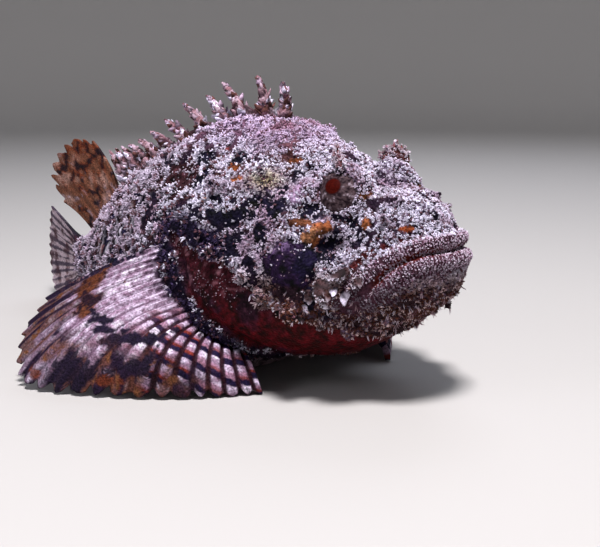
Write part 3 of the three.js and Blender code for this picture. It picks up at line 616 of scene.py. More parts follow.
# The lids hug the eyeball and are drawn over it, furthest from above
for side in (-1, 1):
    centre, gaze = eye_places(side)
    centre, gaze = np.array(centre), np.array(gaze)
    arm = points - centre
    reach = np.linalg.norm(arm, axis=1)
    angle = np.degrees(np.arccos(np.clip(arm @ gaze / reach, -1, 1)))
    upward = np.array((0, 0, 1)) - gaze * gaze[2]
    upward /= np.linalg.norm(upward)
    forward = np.array((1, 0, 0)) - gaze * gaze[0]
    forward -= upward * (forward @ upward)
    forward /= np.linalg.norm(forward)
    clock = np.degrees(np.arctan2(arm @ forward, arm @ upward))
    rim = np.interp(clock, *np.array(LID_RIM).T) + 3 * cloud(spots, 1.6, 24)
    near = (angle > 38) & (angle < LID_FAR) & (reach < 12.5 * MM) & (reach > 7 * MM)
    drawn = rim + np.maximum(angle - LID_OPEN, -3) * (LID_FAR - rim) / (LID_FAR - LID_OPEN)
    inner = (normals * arm).sum(1) < 0
    lid = EYE["radius"] + 0.12 + CORNEA_RISE * step(CORNEA_ANGLE, 0, drawn)
    lid += np.where(inner, 0, 0.2 + 1.4 * step(36, 78, drawn))
    out = arm - gaze * (arm @ gaze)[:, None]
    out /= np.linalg.norm(out, axis=1, keepdims=True)
    turn = np.radians(drawn)
    target = gaze * np.cos(turn)[:, None] + out * np.sin(turn)[:, None]
    target = centre + target * (lid * MM)[:, None]
    points += (target - points) * (near * step(88, 70, angle))[:, None]
    # Nor does the ball show through the thin hide of the dome's far side
    arm = points - centre
    reach = np.linalg.norm(arm, axis=1)
    cover = (EYE["radius"] + BALL_CLEARANCE) * MM
    sunk = (reach < cover) & ~inner & (angle > LID_OPEN) & (reach > 4 * MM)
    points[sunk] = centre + arm[sunk] / reach[sunk, None] * cover
points[:, 2] = np.maximum(points[:, 2], 0.02 * MM)
write_points(skin.data, points)


def pleat_waver(spots):
    """How far the lips' pleats stray along the mouth at each spot."""
    return 0.5 * cloud(spots, 2.6, 25) + 0.25 * cloud(spots, 1.5, 29)


write_colours(skin.data, paint(spots))
reach = np.where(mouth_side(spots) > 0, 5.2, 9)
lips = step(reach + 1.5, reach - 1, mouth_away) * step(0.9, 1.5, mouth_away)
write_values(skin.data, mouth_along + pleat_waver(spots), "Pleat Place")
write_values(skin.data, lips, "Lips")


def add_nodes(tree, kinds):
    """Adds shader nodes: for each name, its type, its options and its fixed inputs."""
    for name, (kind, options, inputs) in kinds.items():
        node = tree.nodes.new(kind)
        node.name = name
        for option, value in options.items():
            setattr(node, option, value)
        for socket, value in inputs.items():
            node.inputs[socket].default_value = value


def link_nodes(tree, joins):
    """Joins nodes by name: from one's output to another's input."""
    for start, output, end, socket in joins:
        tree.links.new(tree.nodes[start].outputs[output], tree.nodes[end].inputs[socket])


def speckle_group():
    """Node group: fine flecks and pores of the hide, in and out of the painted colour."""
    group = bpy.data.node_groups.new("hide_speckle", "ShaderNodeTree")
    for name, way, kind in (
        ("Paint", "INPUT", "Color"), ("Fleck Size", "INPUT", "Float"),
        ("Fleck Strength", "INPUT", "Float"), ("Colour", "OUTPUT", "Color"),
        ("Height", "OUTPUT", "Float"),
    ):
        group.interface.new_socket(name, in_out=way, socket_type="NodeSocket" + kind)
    lighter = {"From Min": 0.3, "From Max": 0.7, "To Min": 0.35, "To Max": 1.75}
    add_nodes(group, {
        "taken": ("NodeGroupInput", {}, {}),
        "given": ("NodeGroupOutput", {}, {}),
        "where": ("ShaderNodeTexCoord", {}, {}),
        "flecks": ("ShaderNodeTexNoise", {}, {"Detail": 3}),
        "pores": ("ShaderNodeTexVoronoi", {}, {}),
        "lift": ("ShaderNodeMapRange", {}, lighter),
        "shade": ("ShaderNodeVectorMath", {"operation": "MULTIPLY"}, {}),
        "ease": ("ShaderNodeMix", {"data_type": "RGBA"}, {}),
        "height": ("ShaderNodeMath", {"operation": "SUBTRACT"}, {}),
    })
    link_nodes(group, [
        ("where", "Object", "flecks", "Vector"),
        ("where", "Object", "pores", "Vector"),
        ("taken", "Fleck Size", "flecks", "Scale"),
        ("taken", "Fleck Size", "pores", "Scale"),
        ("flecks", "Fac", "lift", "Value"),
        ("taken", "Paint", "shade", 0),
        ("lift", "Result", "shade", 1),
        ("taken", "Fleck Strength", "ease", "Factor"),
        ("taken", "Paint", "ease", "A"),
        ("shade", "Vector", "ease", "B"),
        ("ease", "Result", "given", "Colour"),
        ("flecks", "Fac", "height", 0),
        ("pores", "Distance", "height", 1),
        ("height", "Value", "given", "Height"),
    ])
    return group


hide_speckle = speckle_group()


def hide_material(name, fleck_size, fleck_strength, roughness, relief):
    """Painted hide: the Paint colours, broken into flecks, with a fine pitted relief."""
    material = bpy.data.materials.new(name)
    material.use_nodes = True
    tree = material.node_tree
    shader = tree.nodes["Principled BSDF"]
    shader.inputs["Roughness"].default_value = roughness
    shader.inputs["Specular IOR Level"].default_value = MATTE_SHINE
    flecks = {"Fleck Size": fleck_size, "Fleck Strength": fleck_strength}
    add_nodes(tree, {
        "paint": ("ShaderNodeAttribute", {"attribute_name": "Paint"}, {}),
        "speckle": ("ShaderNodeGroup", {"node_tree": hide_speckle}, flecks),
        "relief": ("ShaderNodeBump", {}, {"Distance": relief}),
    })
    link_nodes(tree, [
        ("paint", "Color", "speckle", "Paint"),
        ("speckle", "Colour", "Principled BSDF", "Base Color"),
        ("speckle", "Height", "relief", "Height"),
        ("relief", "Normal", "Principled BSDF", "Normal"),
    ])
    return material


# Pleats across the lips, raised, paler on top, and broken here and there
skin_hide = hide_material(
    "soft_hide", fleck_size=1100, fleck_strength=0.75, roughness=0.6, relief=0.35 * MM
)
paler = {"From Min": 0.1, "From Max": 0.9, "To Max": 0.25}
add_nodes(skin_hide.node_tree, {
    "pleat place": ("ShaderNodeAttribute", {"attribute_name": "Pleat Place"}, {}),
    "lip share": ("ShaderNodeAttribute", {"attribute_name": "Lips"}, {}),
    "where": ("ShaderNodeTexCoord", {}, {}),
    "drift": ("ShaderNodeTexNoise", {}, {"Scale": 700}),
    "drift turns": ("ShaderNodeMath", {"operation": "MULTIPLY"}, {1: 3}),
    "turns": ("ShaderNodeMath", {"operation": "MULTIPLY_ADD"}, {1: 2 * math.pi / PLEAT_WIDTH}),
    "wave": ("ShaderNodeMath", {"operation": "SINE"}, {}),
    "gaps": ("ShaderNodeTexNoise", {}, {"Scale": 900}),
    "gap share": ("ShaderNodeMapRange", {}, {"From Min": 0.42, "From Max": 0.6}),
    "broken": ("ShaderNodeMath", {"operation": "MULTIPLY"}, {}),
    "pleats": ("ShaderNodeMath", {"operation": "MULTIPLY"}, {}),
    "pleat share": ("ShaderNodeMapRange", {}, paler),
    "pale pleats": ("ShaderNodeMix", {"data_type": "RGBA"}, {"B": PLEAT_PALE}),
    "pleat relief": ("ShaderNodeBump", {}, {"Distance": PLEAT_RELIEF}),
})
link_nodes(skin_hide.node_tree, [
    ("where", "Object", "drift", "Vector"),
    ("where", "Object", "gaps", "Vector"),
    ("drift", "Fac", "drift turns", 0),
    ("pleat place", "Fac", "turns", 0),
    ("drift turns", "Value", "turns", 2),
    ("turns", "Value", "wave", 0),
    ("lip share", "Fac", "broken", 0),
    ("gaps", "Fac", "gap share", "Value"),
    ("gap share", "Result", "broken", 1),
    ("wave", "Value", "pleats", 0),
    ("broken", "Value", "pleats", 1),
    ("pleats", "Value", "pleat share", "Value"),
    ("pleat share", "Result", "pale pleats", "Factor"),
    ("speckle", "Colour", "pale pleats", "A"),
    ("pale pleats", "Result", "Principled BSDF", "Base Color"),
    ("pleats", "Value", "pleat relief", "Height"),
    ("relief", "Normal", "pleat relief", "Normal"),
    ("pleat relief", "Normal", "Principled BSDF", "Normal"),
])
skin.data.materials.clear()
skin.data.materials.append(skin_hide)
choose(skin)
bpy.ops.object.shade_smooth()
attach(skin, "root")
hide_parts(*FLESH)

# The eyes are firm balls set in sockets of the hide, with a dark red pupil: the front
# bulges a little over it, and the iris round it is matt and flecked like the skin.
PUPIL_ANGLE = 16.5  # degrees from the line of sight to the pupil's edge
EYE_SHINE = 0.01
EYE_PUPIL = (0.036, 0.003, 0.002)
EYE_RIM = (0.02, 0.008, 0.01)
EYE_FLECKS = [(0.012, 0.007, 0.01), (0.07, 0.045, 0.052), (0.26, 0.21, 0.25)]


def paint_eye(spots, angle):
    """Colour of the eyeball by its angle from the line of sight, in degrees."""
    fleck = 0.7 * cloud(spots, 1.5, 41) + 0.8 * cloud(spots, 0.7, 42) + 0.7 * cloud(spots, 0.4, 43)
    dark, middle, pale = EYE_FLECKS
    return layered(
        dark, spots,
        (middle, step(-0.8, 0.3, fleck)),
        (pale, step(0.4, 1.1, fleck)),
        (EYE_RIM, 0.9 * step(PUPIL_ANGLE + 4.5, PUPIL_ANGLE + 1, angle)),
        (EYE_PUPIL, step(PUPIL_ANGLE + 0.6, PUPIL_ANGLE - 0.6, angle)),
    )


eye_surface = hide_material(
    "eye_surface", fleck_size=2400, fleck_strength=0.6, roughness=0.5, relief=0.03 * MM
)
shader = eye_surface.node_tree.nodes["Principled BSDF"]
shader.inputs["Specular IOR Level"].default_value = EYE_SHINE
for side, node in ((-1, "eye_right"), (1, "eye_left")):
    centre, gaze = eye_places(side)
    bpy.ops.object.select_all(action="DESELECT")
    bpy.ops.mesh.primitive_uv_sphere_add(
        segments=96, ring_count=72, radius=EYE["radius"] * MM,
        rotation=gaze.to_track_quat("Z", "Y").to_euler(),
    )
    eye = bpy.context.object
    eye.name = node + "_ball"
    bpy.ops.object.transform_apply(location=False, rotation=True, scale=False)
    points = read_points(eye.data)
    angle = np.degrees(np.arccos(np.clip(points @ np.array(gaze) / (EYE["radius"] * MM), -1, 1)))
    bulge = CORNEA_RISE * MM * step(CORNEA_ANGLE, 0, angle)
    points += np.array(gaze) * bulge[:, None] + np.array(centre)
    write_points(eye.data, points)
    write_colours(eye.data, paint_eye(spots_of(points), angle))
    eye.data.materials.append(eye_surface)
    choose(eye)
    bpy.ops.object.shade_smooth()
    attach(eye, "root")
    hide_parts(node)

# The fins are sheets of thin skin over jointed rays, which stand out on both faces. Each is
# spread from a few of its rays, given as root, bow at mid length, and tip in millimetres.
RAY_COLUMNS = 8  # columns of faces from one ray to the next
RAY_WIDTH = 0.27  # of the space from ray to ray
FLOOR_GAP = 0.05
RAY_MAUVE = (0.25, 0.16, 0.24)
RAY_PALE = (0.6, 0.5, 0.66)
RAY_WHITE = (0.74, 0.68, 0.8)
THREAD_PLUM = (0.12, 0.055, 0.1)
WEB_PLUM = (0.05, 0.02, 0.045)
WEB_MAROON = (0.018, 0.004, 0.008)
BAND_PINK = (0.27, 0.13, 0.2)
BAND_MAROON = (0.15, 0.022, 0.016)
BAND_BLACK = (0.01, 0.006, 0.028)
BLOTCH_RUST = (0.09, 0.028, 0.014)
BLOTCH_BROWN = (0.016, 0.006, 0.012)
BLOTCH_BLACK = (0.01, 0.006, 0.018)
EDGE_BROWN = (0.08, 0.028, 0.02)
EDGE_TAN = (0.12, 0.045, 0.02)
EDGE_INK = (0.014, 0.007, 0.02)
OUTER_BLACK = (0.01, 0.006, 0.016)
EMBER = (0.1, 0.022, 0.01)
TOP_INK = (0.012, 0.008, 0.022)
# painted shade at a fin's root
ROOT_SHADE = (0.02, 0.01, 0.024)
FIN_BROWN = (0.13, 0.05, 0.03)
FIN_TAN = (0.3, 0.17, 0.14)
FIN_RED = (0.13, 0.026, 0.008)
FIN_DARK = (0.014, 0.006, 0.009)
FIN_PALE = (0.3, 0.24, 0.3)
TAIL_PALE = (0.44, 0.35, 0.4)
TAIL_BROWN = (0.16, 0.08, 0.09)
TAIL_RAY = (0.022, 0.012, 0.035)
TAIL_BAR = (0.05, 0.018, 0.025)
DARK_BLOTCHES = [  # share of the fan from its top ray, share of the ray's length, and reach
    ((0.57, 0.6), (0.045, 0.07)), ((0.61, 0.5), (0.045, 0.07)), ((0.5, 0.5), (0.04, 0.05)),
    ((0.45, 0.43), (0.06, 0.04)), ((0.67, 0.45), (0.03, 0.06)), ((0.38, 0.4), (0.04, 0.03)),
]
PECTORAL_RAYS = [
    [(88, 32, 44.5), (-1, 3.5, 1), (123.5, 56, 24)],
    [(88, 33.5, 38), (-1, 5, 3), (124, 66, 12)],
    [(84.5, 34, 31), (0, 6, 5), (111, 74, 1)],
    [(78, 33, 24), (-1, 6, 6), (88, 65, 0.4)],
    [(73, 29.5, 17), (-3, 5.5, 5), (65, 47.5, 0.4)],
    [(69, 22, 11), (-4, 3.5, 3), (51, 28, 0.4)],
]
PELVIC_RAYS = [
    [(63, 17, 11), (0, 2.5, -1.8), (80, 42, 0.8)],
    [(65, 15.5, 10.5), (0, 2.5, -2.5), (95, 44, 0.8)],
    [(67, 14, 10), (0, 3, -3), (104, 36, 0.8)],
]
SOFT_BACK_RAYS = [
    [(151.5, 0, 47), (-2, 0, 2), (172, 0, 71.5)],
    [(156, 0, 43.5), (-1.5, 0, 2), (185, -1, 71.5)],
    [(160.5, 0, 40), (-1, 0, 2), (197, -2.5, 65)],
    [(165, 0, 35.5), (-1, 0, 2), (203, -3, 55.5)],
    [(169, 0, 32), (-1, 0, 1.5), (196, -2, 45)],
]
VENT_RAYS = [
    [(144, 0, 13), (1, 0, -1.5), (158, 0, 0.8)],
    [(149, 0, 14), (1, 0, -1.5), (171, 0, 0.6)],
    [(154, 0, 15.5), (1, 0, -1.5), (184, 0, 0.8)],
    [(159, 0, 17), (0.5, 0, -1), (190, 0, 3)],
    [(164, 0, 18), (0.5, 0, -1), (187, 0, 7.5)],
]
TAIL_RAYS = [
    [(186.3, 0, 14), (0, 0, -1), (222, 0, 0.2)],
    [(186.3, 0, 17.5), (0, 0.6, 0), (228, 0, 9)],
    [(186.3, 0, 21.5), (0, 1, 0), (230, 0, 20)],
    [(186.3, 0, 25.5), (0, 0.6, 0), (228, 0, 31)],
    [(186.3, 0, 29.5), (0, 0, 1), (223, 0, 40)],
]


def curve_through(knots, share):
    """Points of a smooth curve through the knots, at shares of it from 0 to 1."""
    knots = np.asarray(knots, float)
    knots = np.concatenate([[2 * knots[0] - knots[1]], knots, [2 * knots[-1] - knots[-2]]])
    pieces = len(knots) - 3
    piece = np.minimum((share * pieces).astype(int), pieces - 1)
    t = (share * pieces - piece)[:, None]
    a, b, c, d = (knots[piece + k] for k in range(4))
    gap = np.sqrt(np.linalg.norm(c - b, axis=1, keepdims=True))
    gap = np.where(gap < 0.01, 1, gap)
    before = np.sqrt(np.linalg.norm(b - a, axis=1, keepdims=True))
    before = np.where(before < 0.01, gap, before)
    after = np.sqrt(np.linalg.norm(d - c, axis=1, keepdims=True))
    after = np.where(after < 0.01, gap, after)
    leave = gap * ((b - a) / before - (c - a) / (before + gap) + (c - b) / gap)
    arrive = gap * ((c - b) / gap - (d - b) / (gap + after) + (d - c) / after)
    return (
        b * (2 * t**3 - 3 * t**2 + 1) + leave * (t**3 - 2 * t**2 + t)
        + c * (3 * t**2 - 2 * t**3) + arrive * (t**3 - t**2)
    )


def put_straight(spots, roots, share, along):
    """Places of a middle fin that runs straight back from where each ray leaves the body."""
    turn = np.maximum(roots[:, 0] - BEND_START, 0) / BEND_RADIUS
    start = place(np.stack([roots[:, 0], spots[:, 1], spots[:, 2]], 1))
    back = np.stack([-np.cos(turn), np.sin(turn), np.zeros(len(turn))], 1)
    return start + back * ((spots[:, 0] - roots[:, 0]) * MM)[:, None]


def streaky(across, along, seed, layer=0):
    """Smooth random value from -1 to 1 over a fin, drawn out along its rays."""
    level = 0 * across
    return cloud(np.stack([across, level + along, level + layer], 1), 1, seed)


def fin(name, key_rays, rays, rows, thickness, notch, put, colours, crowd=0, plump=0):
    """A fin with ridged rays: thickness gives ray and web in mm, colours its paint.

    The rays crowd towards the fin's last ray, where they are as round as plump says.
    """
    bpy.ops.object.select_all(action="DESELECT")
    columns = RAY_COLUMNS * (rays - 1)
    bpy.ops.mesh.primitive_grid_add(x_subdivisions=columns, y_subdivisions=rows, size=1)
    piece = bpy.context.object
    piece.name = name
    rank, along = (read_points(piece.data)[:, :2] + 0.5).T
    share = rank + crowd * rank * (1 - rank)
    ray = np.rint(rank * (rays - 1))
    from_ray = np.abs((rank * (rays - 1) + 0.5) % 1 - 0.5)
    ragged = 0.985 - 0.015 * streaky(rank * (rays - 1) * 1.7, 0, 49)
    web = np.sin(np.pi * np.clip(from_ray, 0, 0.5)) ** 2
    uneven = 1 + 0.6 * np.sin(ray * 2.4)
    along = along * (1 - notch * web * uneven) * ragged
    roots, bows, tips = (curve_through([ray[k] for ray in key_rays], share) for k in range(3))
    spread = roots + (tips - roots) * along[:, None]
    spread += bows * (4 * along * (1 - along))[:, None]
    points = put(spread, roots, share, along)
    write_points(piece.data, points)
    write_colours(piece.data, colours(share, along, ray, from_ray, spots_of(points)))
    ray_thick, web_thick = thickness(share, along)
    ridge = np.exp(-((from_ray / RAY_WIDTH) ** 2))
    rounded = np.sqrt(np.clip(1 - (from_ray / 0.46) ** 2, 0, 1))
    ridge += (rounded - ridge) * plump * step(0.45, 0.7, share)
    thick = web_thick + (ray_thick - web_thick) * ridge
    group = piece.vertex_groups.new(name="thick")
    most = thick.max()
    for index, value in enumerate(thick / most):
        group.add([index], float(value), "REPLACE")
    wall = piece.modifiers.new("wall", "SOLIDIFY")
    wall.thickness = most * MM
    wall.offset = 0
    wall.vertex_group = "thick"
    wall.use_even_offset = False  # or the notches grow spikes
    apply_all(piece)
    points = read_points(piece.data)
    points[:, 2] = np.maximum(points[:, 2], FLOOR_GAP * MM)
    write_points(piece.data, points)
    bpy.ops.object.mode_set(mode="EDIT")
    bpy.ops.mesh.select_all(action="SELECT")
    bpy.ops.mesh.normals_make_consistent(inside=False)
    bpy.ops.object.mode_set(mode="OBJECT")
    bpy.ops.object.shade_smooth()
    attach(piece, "root")
    return piece


def blot(share, along, at, reach):
    """1 at a place on a fin, falling to 0 over that reach."""
    return np.exp(-(((share - at[0]) / reach[0]) ** 2) - ((along - at[1]) / reach[1]) ** 2)


def banded(share, along, ray, from_ray, spots):
    """Paint of a paired fin: pale rays, banded below, with rusty and blue-black blotches."""
    chance = streaky(ray * 3.1, 0, 50, 5)
    blur = cloud(spots, 7, 51) + 0.5 * cloud(spots, 3, 52)
    fleck = cloud(spots, 1.2, 53) + 0.6 * cloud(spots, 0.7, 57)
    streak = streaky(ray * 2.7, along * 9, 54)
    thread = streaky(share * 72, along * 6, 55)
    coarse = streaky(share * 30, along * 4, 56)
    uneven = 0.2 * blur + 0.4 * streak + 0.2 * fleck
    threads = 0.35 * thread + 0.3 * coarse + 0.2 * fleck
    low = step(0.52, 0.7, share + 0.05 * blur)
    lines = np.cos(2 * np.pi * share * 17 * 3) * step(0.7, 0.5, share)
    dark_thread = step(-0.1, 0.8, thread - 0.3 * fleck - 0.5 * lines)
    turn = (along * (6.4 - 3 * step(0.6, 1, share)) + 0.45 * chance + 0.1 * blur) % 1
    band_end = step(1, 0.97, turn)
    pink = low * step(0.28, 0.4, turn + 0.1 * fleck) * band_end
    maroon = step(0.48, 0.56, turn + 0.06 * fleck) * band_end * step(-0.6, 0, chance)
    black = step(0.64, 0.7, turn + 0.06 * fleck) * band_end
    rust = blot(share, along, (0.08, 0.48), (0.2, 0.1))
    rust = np.maximum(rust, blot(share, along, (0.3, 0.45), (0.1, 0.08)))
    rust = step(0.35, 0.6, rust + 0.7 * uneven)
    dark = np.zeros(len(spots))
    for at, reach in DARK_BLOTCHES:
        dark = np.maximum(dark, blot(share, along + 0.05 * chance, at, reach))
    colour = layered(
        RAY_MAUVE, spots,
        (RAY_PALE, step(-0.5, 0.5, 0.7 * fleck + thread)),
        (RAY_WHITE, 0.8 * step(0.3, 0.8, coarse + 0.4 * fleck)),
        (THREAD_PLUM, 0.8 * dark_thread * (1 - 0.5 * low)),
        (WEB_PLUM, step(0.27, 0.42, from_ray) * (0.5 + 0.4 * low)),
        (BAND_PINK, 0.9 * pink),
        (BAND_MAROON, low * maroon),
        (BAND_BLACK, low * black),
        (WEB_MAROON, low * step(0.28, 0.4, from_ray)),
        (BLOTCH_RUST, rust),
        (BLOTCH_BROWN, rust * step(-0.25, 0.1, fleck + coarse)),
        (BLOTCH_BLACK, step(0.42, 0.55, dark + 0.5 * uneven + 0.5 * threads)),
    )
    edge = step(0.52, 0.72, along + 0.08 * blur + 0.06 * streak) * step(0.9, 0.74, share)
    brown = step(-0.25, 0.1, coarse + 0.5 * streak + 0.3 * fleck)
    outer = blot(share, along, (0.52, 0.84), (0.12, 0.12))
    outer = np.maximum(outer, blot(share, along, (0.68, 0.74), (0.06, 0.06)))
    ember = blot(share, along, (0.62, 0.88), (0.035, 0.05))
    ember += blot(share, along, (0.42, 0.9), (0.06, 0.05))
    top = step(0.07, 0.035, share + 0.02 * fleck) * step(0.1, 0.2, along)
    dashes = np.sin(along * 60 + 5 * fleck)
    colour = layered(
        colour * (1 - 0.4 * edge[:, None]), spots,
        (EDGE_BROWN, 0.85 * edge * brown),
        (EDGE_TAN, edge * brown * step(0.2, 0.5, cloud(spots, 1.6, 58))),
        (EDGE_INK, edge * step(0, 0.25, thread + 0.5 * streak)),
        (OUTER_BLACK, 0.95 * step(0.45, 0.6, outer + 1.3 * threads + 0.3 * chance)),
        (EMBER, 0.9 * step(0.5, 0.7, ember + threads)),
        (TOP_INK, top * step(-0.5, 0, dashes)),
        # painted shade at the fin's root, where it leaves the body
        (ROOT_SHADE, step(0.12, 0.04, along + 0.04 * fleck)),
    )
    return np.clip(colour, 0.003, 1)


def tan_and_brown(share, along, ray, from_ray, spots):
    """Paint of the soft back and vent fins: tan, with dark brown and reddish spots."""
    fine = cloud(spots, 1.5, 66)
    blur = cloud(spots, 6, 61) + 0.6 * cloud(spots, 3, 62)
    brown = cloud(spots, 4.2, 64) + 0.6 * cloud(spots, 2, 65) + 0.3 * fine
    return layered(
        FIN_BROWN, spots,
        (FIN_TAN, step(-0.1, 0.6, blur)),
        (FIN_RED, step(-0.1, 0.3, brown) * step(0.2, 0.5, along)),
        (FIN_DARK, step(0.2, 0.4, brown)),
        (MAUVE, 0.5 * step(0.3, 0, along) * step(-0.3, 0.5, fine)),
        (FIN_PALE, 0.6 * step(0.55, 0.9, fine - 0.4 * brown)),
    )


def dark_rays(share, along, ray, from_ray, spots):
    """Paint of the tail fin: dark rays with mottled bars, and pale skin between them."""
    blur = cloud(spots, 5, 63) + 0.5 * cloud(spots, 2, 67)
    fine = cloud(spots, 1.4, 68)
    bars = streaky(ray * 1.3, along * 5, 69)
    wide = 0.2 + 0.1 * np.sin(ray * 2.1) + 0.12 * blur + 0.08 * fine
    return layered(
        TAIL_PALE, spots,
        (TAIL_BROWN, step(-0.1, 0.8, blur + 0.4 * fine)),
        (TAIL_RAY, 0.9 * step(wide + 0.08, wide - 0.04, from_ray)),
        (TAIL_BAR, 0.85 * step(0.1, 0.6, bars + 0.4 * blur)),
    )


def put_pectoral(side, forward):
    """Places of a breast fin on that side, its low rays swept forward by so many mm."""
    def put(spread, roots, share, along):
        moved = spread - np.stack([forward * along * share, 0 * share, 0 * share], 1)
        return place(moved * [1, side, 1])
    return put


def put_pelvic(side):
    """Places of a belly fin on that side."""
    return lambda spread, roots, share, along: place(spread * [1, side, 1])


def pectoral_thickness(share, along):
    """Ray and web of a breast fin, in millimetres: the low rays are stout and beaded."""
    root = 3 * np.maximum(0, 1 - along / 0.2) ** 1.5
    low = step(0.45, 0.75, share)
    beads = 1 + 0.1 * np.sin(along * 34 + 9 * share) * low
    ray = (1.2 + (0.8 + 1.3 * low) * (1 - 0.6 * along)) * beads
    return ray + root, 0.4 + 0.5 * (1 - along) * (1 - 0.5 * low) + root


def pelvic_thickness(share, along):
    """Ray and web of a belly fin."""
    return 2.4 - 1.3 * along, 1.4 - 0.9 * along


def soft_thickness(share, along):
    """Ray and web of the soft back fin and of the vent fin."""
    return 0.8 + (1 - along) ** 1.5, 0.35 + 0.7 * (1 - along) ** 3


def tail_thickness(share, along):
    """Ray and web of the tail fin, which swells where it leaves the stalk."""
    swell = 4.2 * np.maximum(0, 1 - along / 0.3) ** 2
    return 0.8 + 0.9 * (1 - along) + swell, 0.4 + 0.5 * (1 - along) + swell


fin_skin = hide_material(
    "fin_skin", fleck_size=1500, fleck_strength=0.85, roughness=0.6, relief=0.2 * MM
)
for side, name, forward in ((-1, "pectoral_fin_right", 0), (1, "pectoral_fin_left", 6)):
    piece = fin(
        name + "_skin", PECTORAL_RAYS, rays=21, rows=84, thickness=pectoral_thickness,
        notch=0.045, put=put_pectoral(side, forward), colours=banded, crowd=0.24, plump=1,
    )
    piece.data.materials.append(fin_skin)
    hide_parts(name)
for side, name in ((-1, "pelvic_fin_right"), (1, "pelvic_fin_left")):
    piece = fin(
        name + "_skin", PELVIC_RAYS, rays=6, rows=40, thickness=pelvic_thickness,
        notch=0.08, put=put_pelvic(side), colours=banded,
    )
    piece.data.materials.append(fin_skin)
    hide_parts(name)
for name, rays, count in (("dorsal_fin_soft", SOFT_BACK_RAYS, 9), ("anal_fin", VENT_RAYS, 8)):
    piece = fin(
        name + "_skin", rays, rays=count, rows=40, thickness=soft_thickness,
        notch=0.08, put=put_straight, colours=tan_and_brown,
    )
    piece.data.materials.append(fin_skin)
    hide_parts(name)
piece = fin(
    "caudal_fin_skin", TAIL_RAYS, rays=12, rows=44, thickness=tail_thickness,
    notch=0.04, put=lambda spread, roots, share, along: place(spread), colours=dark_rays,
)
piece.data.materials.append(fin_skin)
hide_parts("caudal_fin")

# The front of the back fin: twelve stout spines, each sheathed in thick skin and hung with
# whorls of small leaf-like lobes, pale at their tips, with a low web from spine to spine.
BACK_SPINES = [  # station and height of the root, then of the tip
    (68.5, 79.7, 68, 95), (75.5, 80.1, 79.5, 97), (83.5, 79.4, 96, 94.5), (92, 77.5, 104, 90),
    (101.5, 74.2, 116, 87), (110.5, 70.9, 126, 81), (118.5, 67.6, 134, 76.5),
    (125.5, 64.2, 141, 73), (131.5, 61, 147, 71), (137, 58, 152, 70), (142, 54.8, 156, 69),
    (146.5, 51.8, 160.5, 68),
]
SPINE_BOW = (-1.2, 0, 0.6)
SPINE_RADII = (2.3, 2.2, 1.9, 1.3, 0.25)
WEB_REACH = 0.5  # of a spine's length
WEB_SHADE = 0.4  # of the spines' brightness
SPINE_BROWN = (0.2, 0.1, 0.12)
SPINE_MAUVE = (0.42, 0.31, 0.38)
SPINE_DARK = (0.05, 0.018, 0.03)
LOBE_WHORLS = (0.22, 0.29, 0.36, 0.42, 0.48, 0.54, 0.6, 0.66, 0.72, 0.78, 0.83, 0.88)
LOBES_EACH = 6
LOBE_TINTS = [
    (0.76, 0.7, 0.9), (0.42, 0.3, 0.38), (0.3, 0.18, 0.22), (0.12, 0.05, 0.045), (0.36, 0.26, 0.36),
]


def spine_point(spine, along):
    """Place on a spine's middle line, from its root at 0 to its tip at 1."""
    root = np.array((spine[0], 0, spine[1]))
    tip = np.array((spine[2], 0, spine[3]))
    along = np.atleast_1d(along)[:, None]
    return place(root + (tip - root) * along + np.array(SPINE_BOW) * 4 * along * (1 - along))


def spine_radius(along):
    """Radius of a spine, in millimetres, from its root at 0 to its tip at 1."""
    return np.interp(along, np.linspace(0, 1, len(SPINE_RADII)), SPINE_RADII)


def tube(name, line, radii, sides, lumps):
    """A closed lumpy tube along a line of points, with a radius in metres at each."""
    bpy.ops.object.select_all(action="DESELECT")
    rows = len(line) - 1
    bpy.ops.mesh.primitive_grid_add(x_subdivisions=sides, y_subdivisions=rows, size=1)
    piece = bpy.context.object
    piece.name = name
    around, row = (read_points(piece.data)[:, :2] + 0.5).T
    row = np.rint(row * rows).astype(int)
    ahead = np.gradient(line, axis=0)
    ahead /= np.linalg.norm(ahead, axis=1, keepdims=True)
    across = np.cross(ahead, (0.13, 0.99, 0.02))
    across /= np.linalg.norm(across, axis=1, keepdims=True)
    third = np.cross(ahead, across)
    turn = 2 * np.pi * around
    way = across[row] * np.cos(turn)[:, None] + third[row] * np.sin(turn)[:, None]
    points = line[row] + way * radii[row][:, None]
    swell = 1 + lumps * cloud(spots_of(points), 1.8, 71)
    points = line[row] + way * (radii[row] * swell)[:, None]
    write_points(piece.data, points)
    bpy.ops.object.mode_set(mode="EDIT")
    bpy.ops.mesh.select_all(action="SELECT")
    bpy.ops.mesh.remove_doubles(threshold=0.002 * MM)
    bpy.ops.mesh.fill_holes(sides=0)
    bpy.ops.mesh.normals_make_consistent(inside=False)
    bpy.ops.object.mode_set(mode="OBJECT")
    bpy.ops.object.shade_smooth()
    return piece


def paint_spines(spots):
    """Paint of the spines and their web: brown and mauve, with dark and pale patches."""
    blur = cloud(spots, 4, 72) + 0.5 * cloud(spots, 1.6, 73)
    return layered(
        SPINE_BROWN, spots,
        (SPINE_MAUVE, step(-0.2, 0.6, blur)),
        (SPINE_DARK, step(-0.3, -0.8, blur)),
        (FROST, step(0.7, 1.1, blur)),
    )


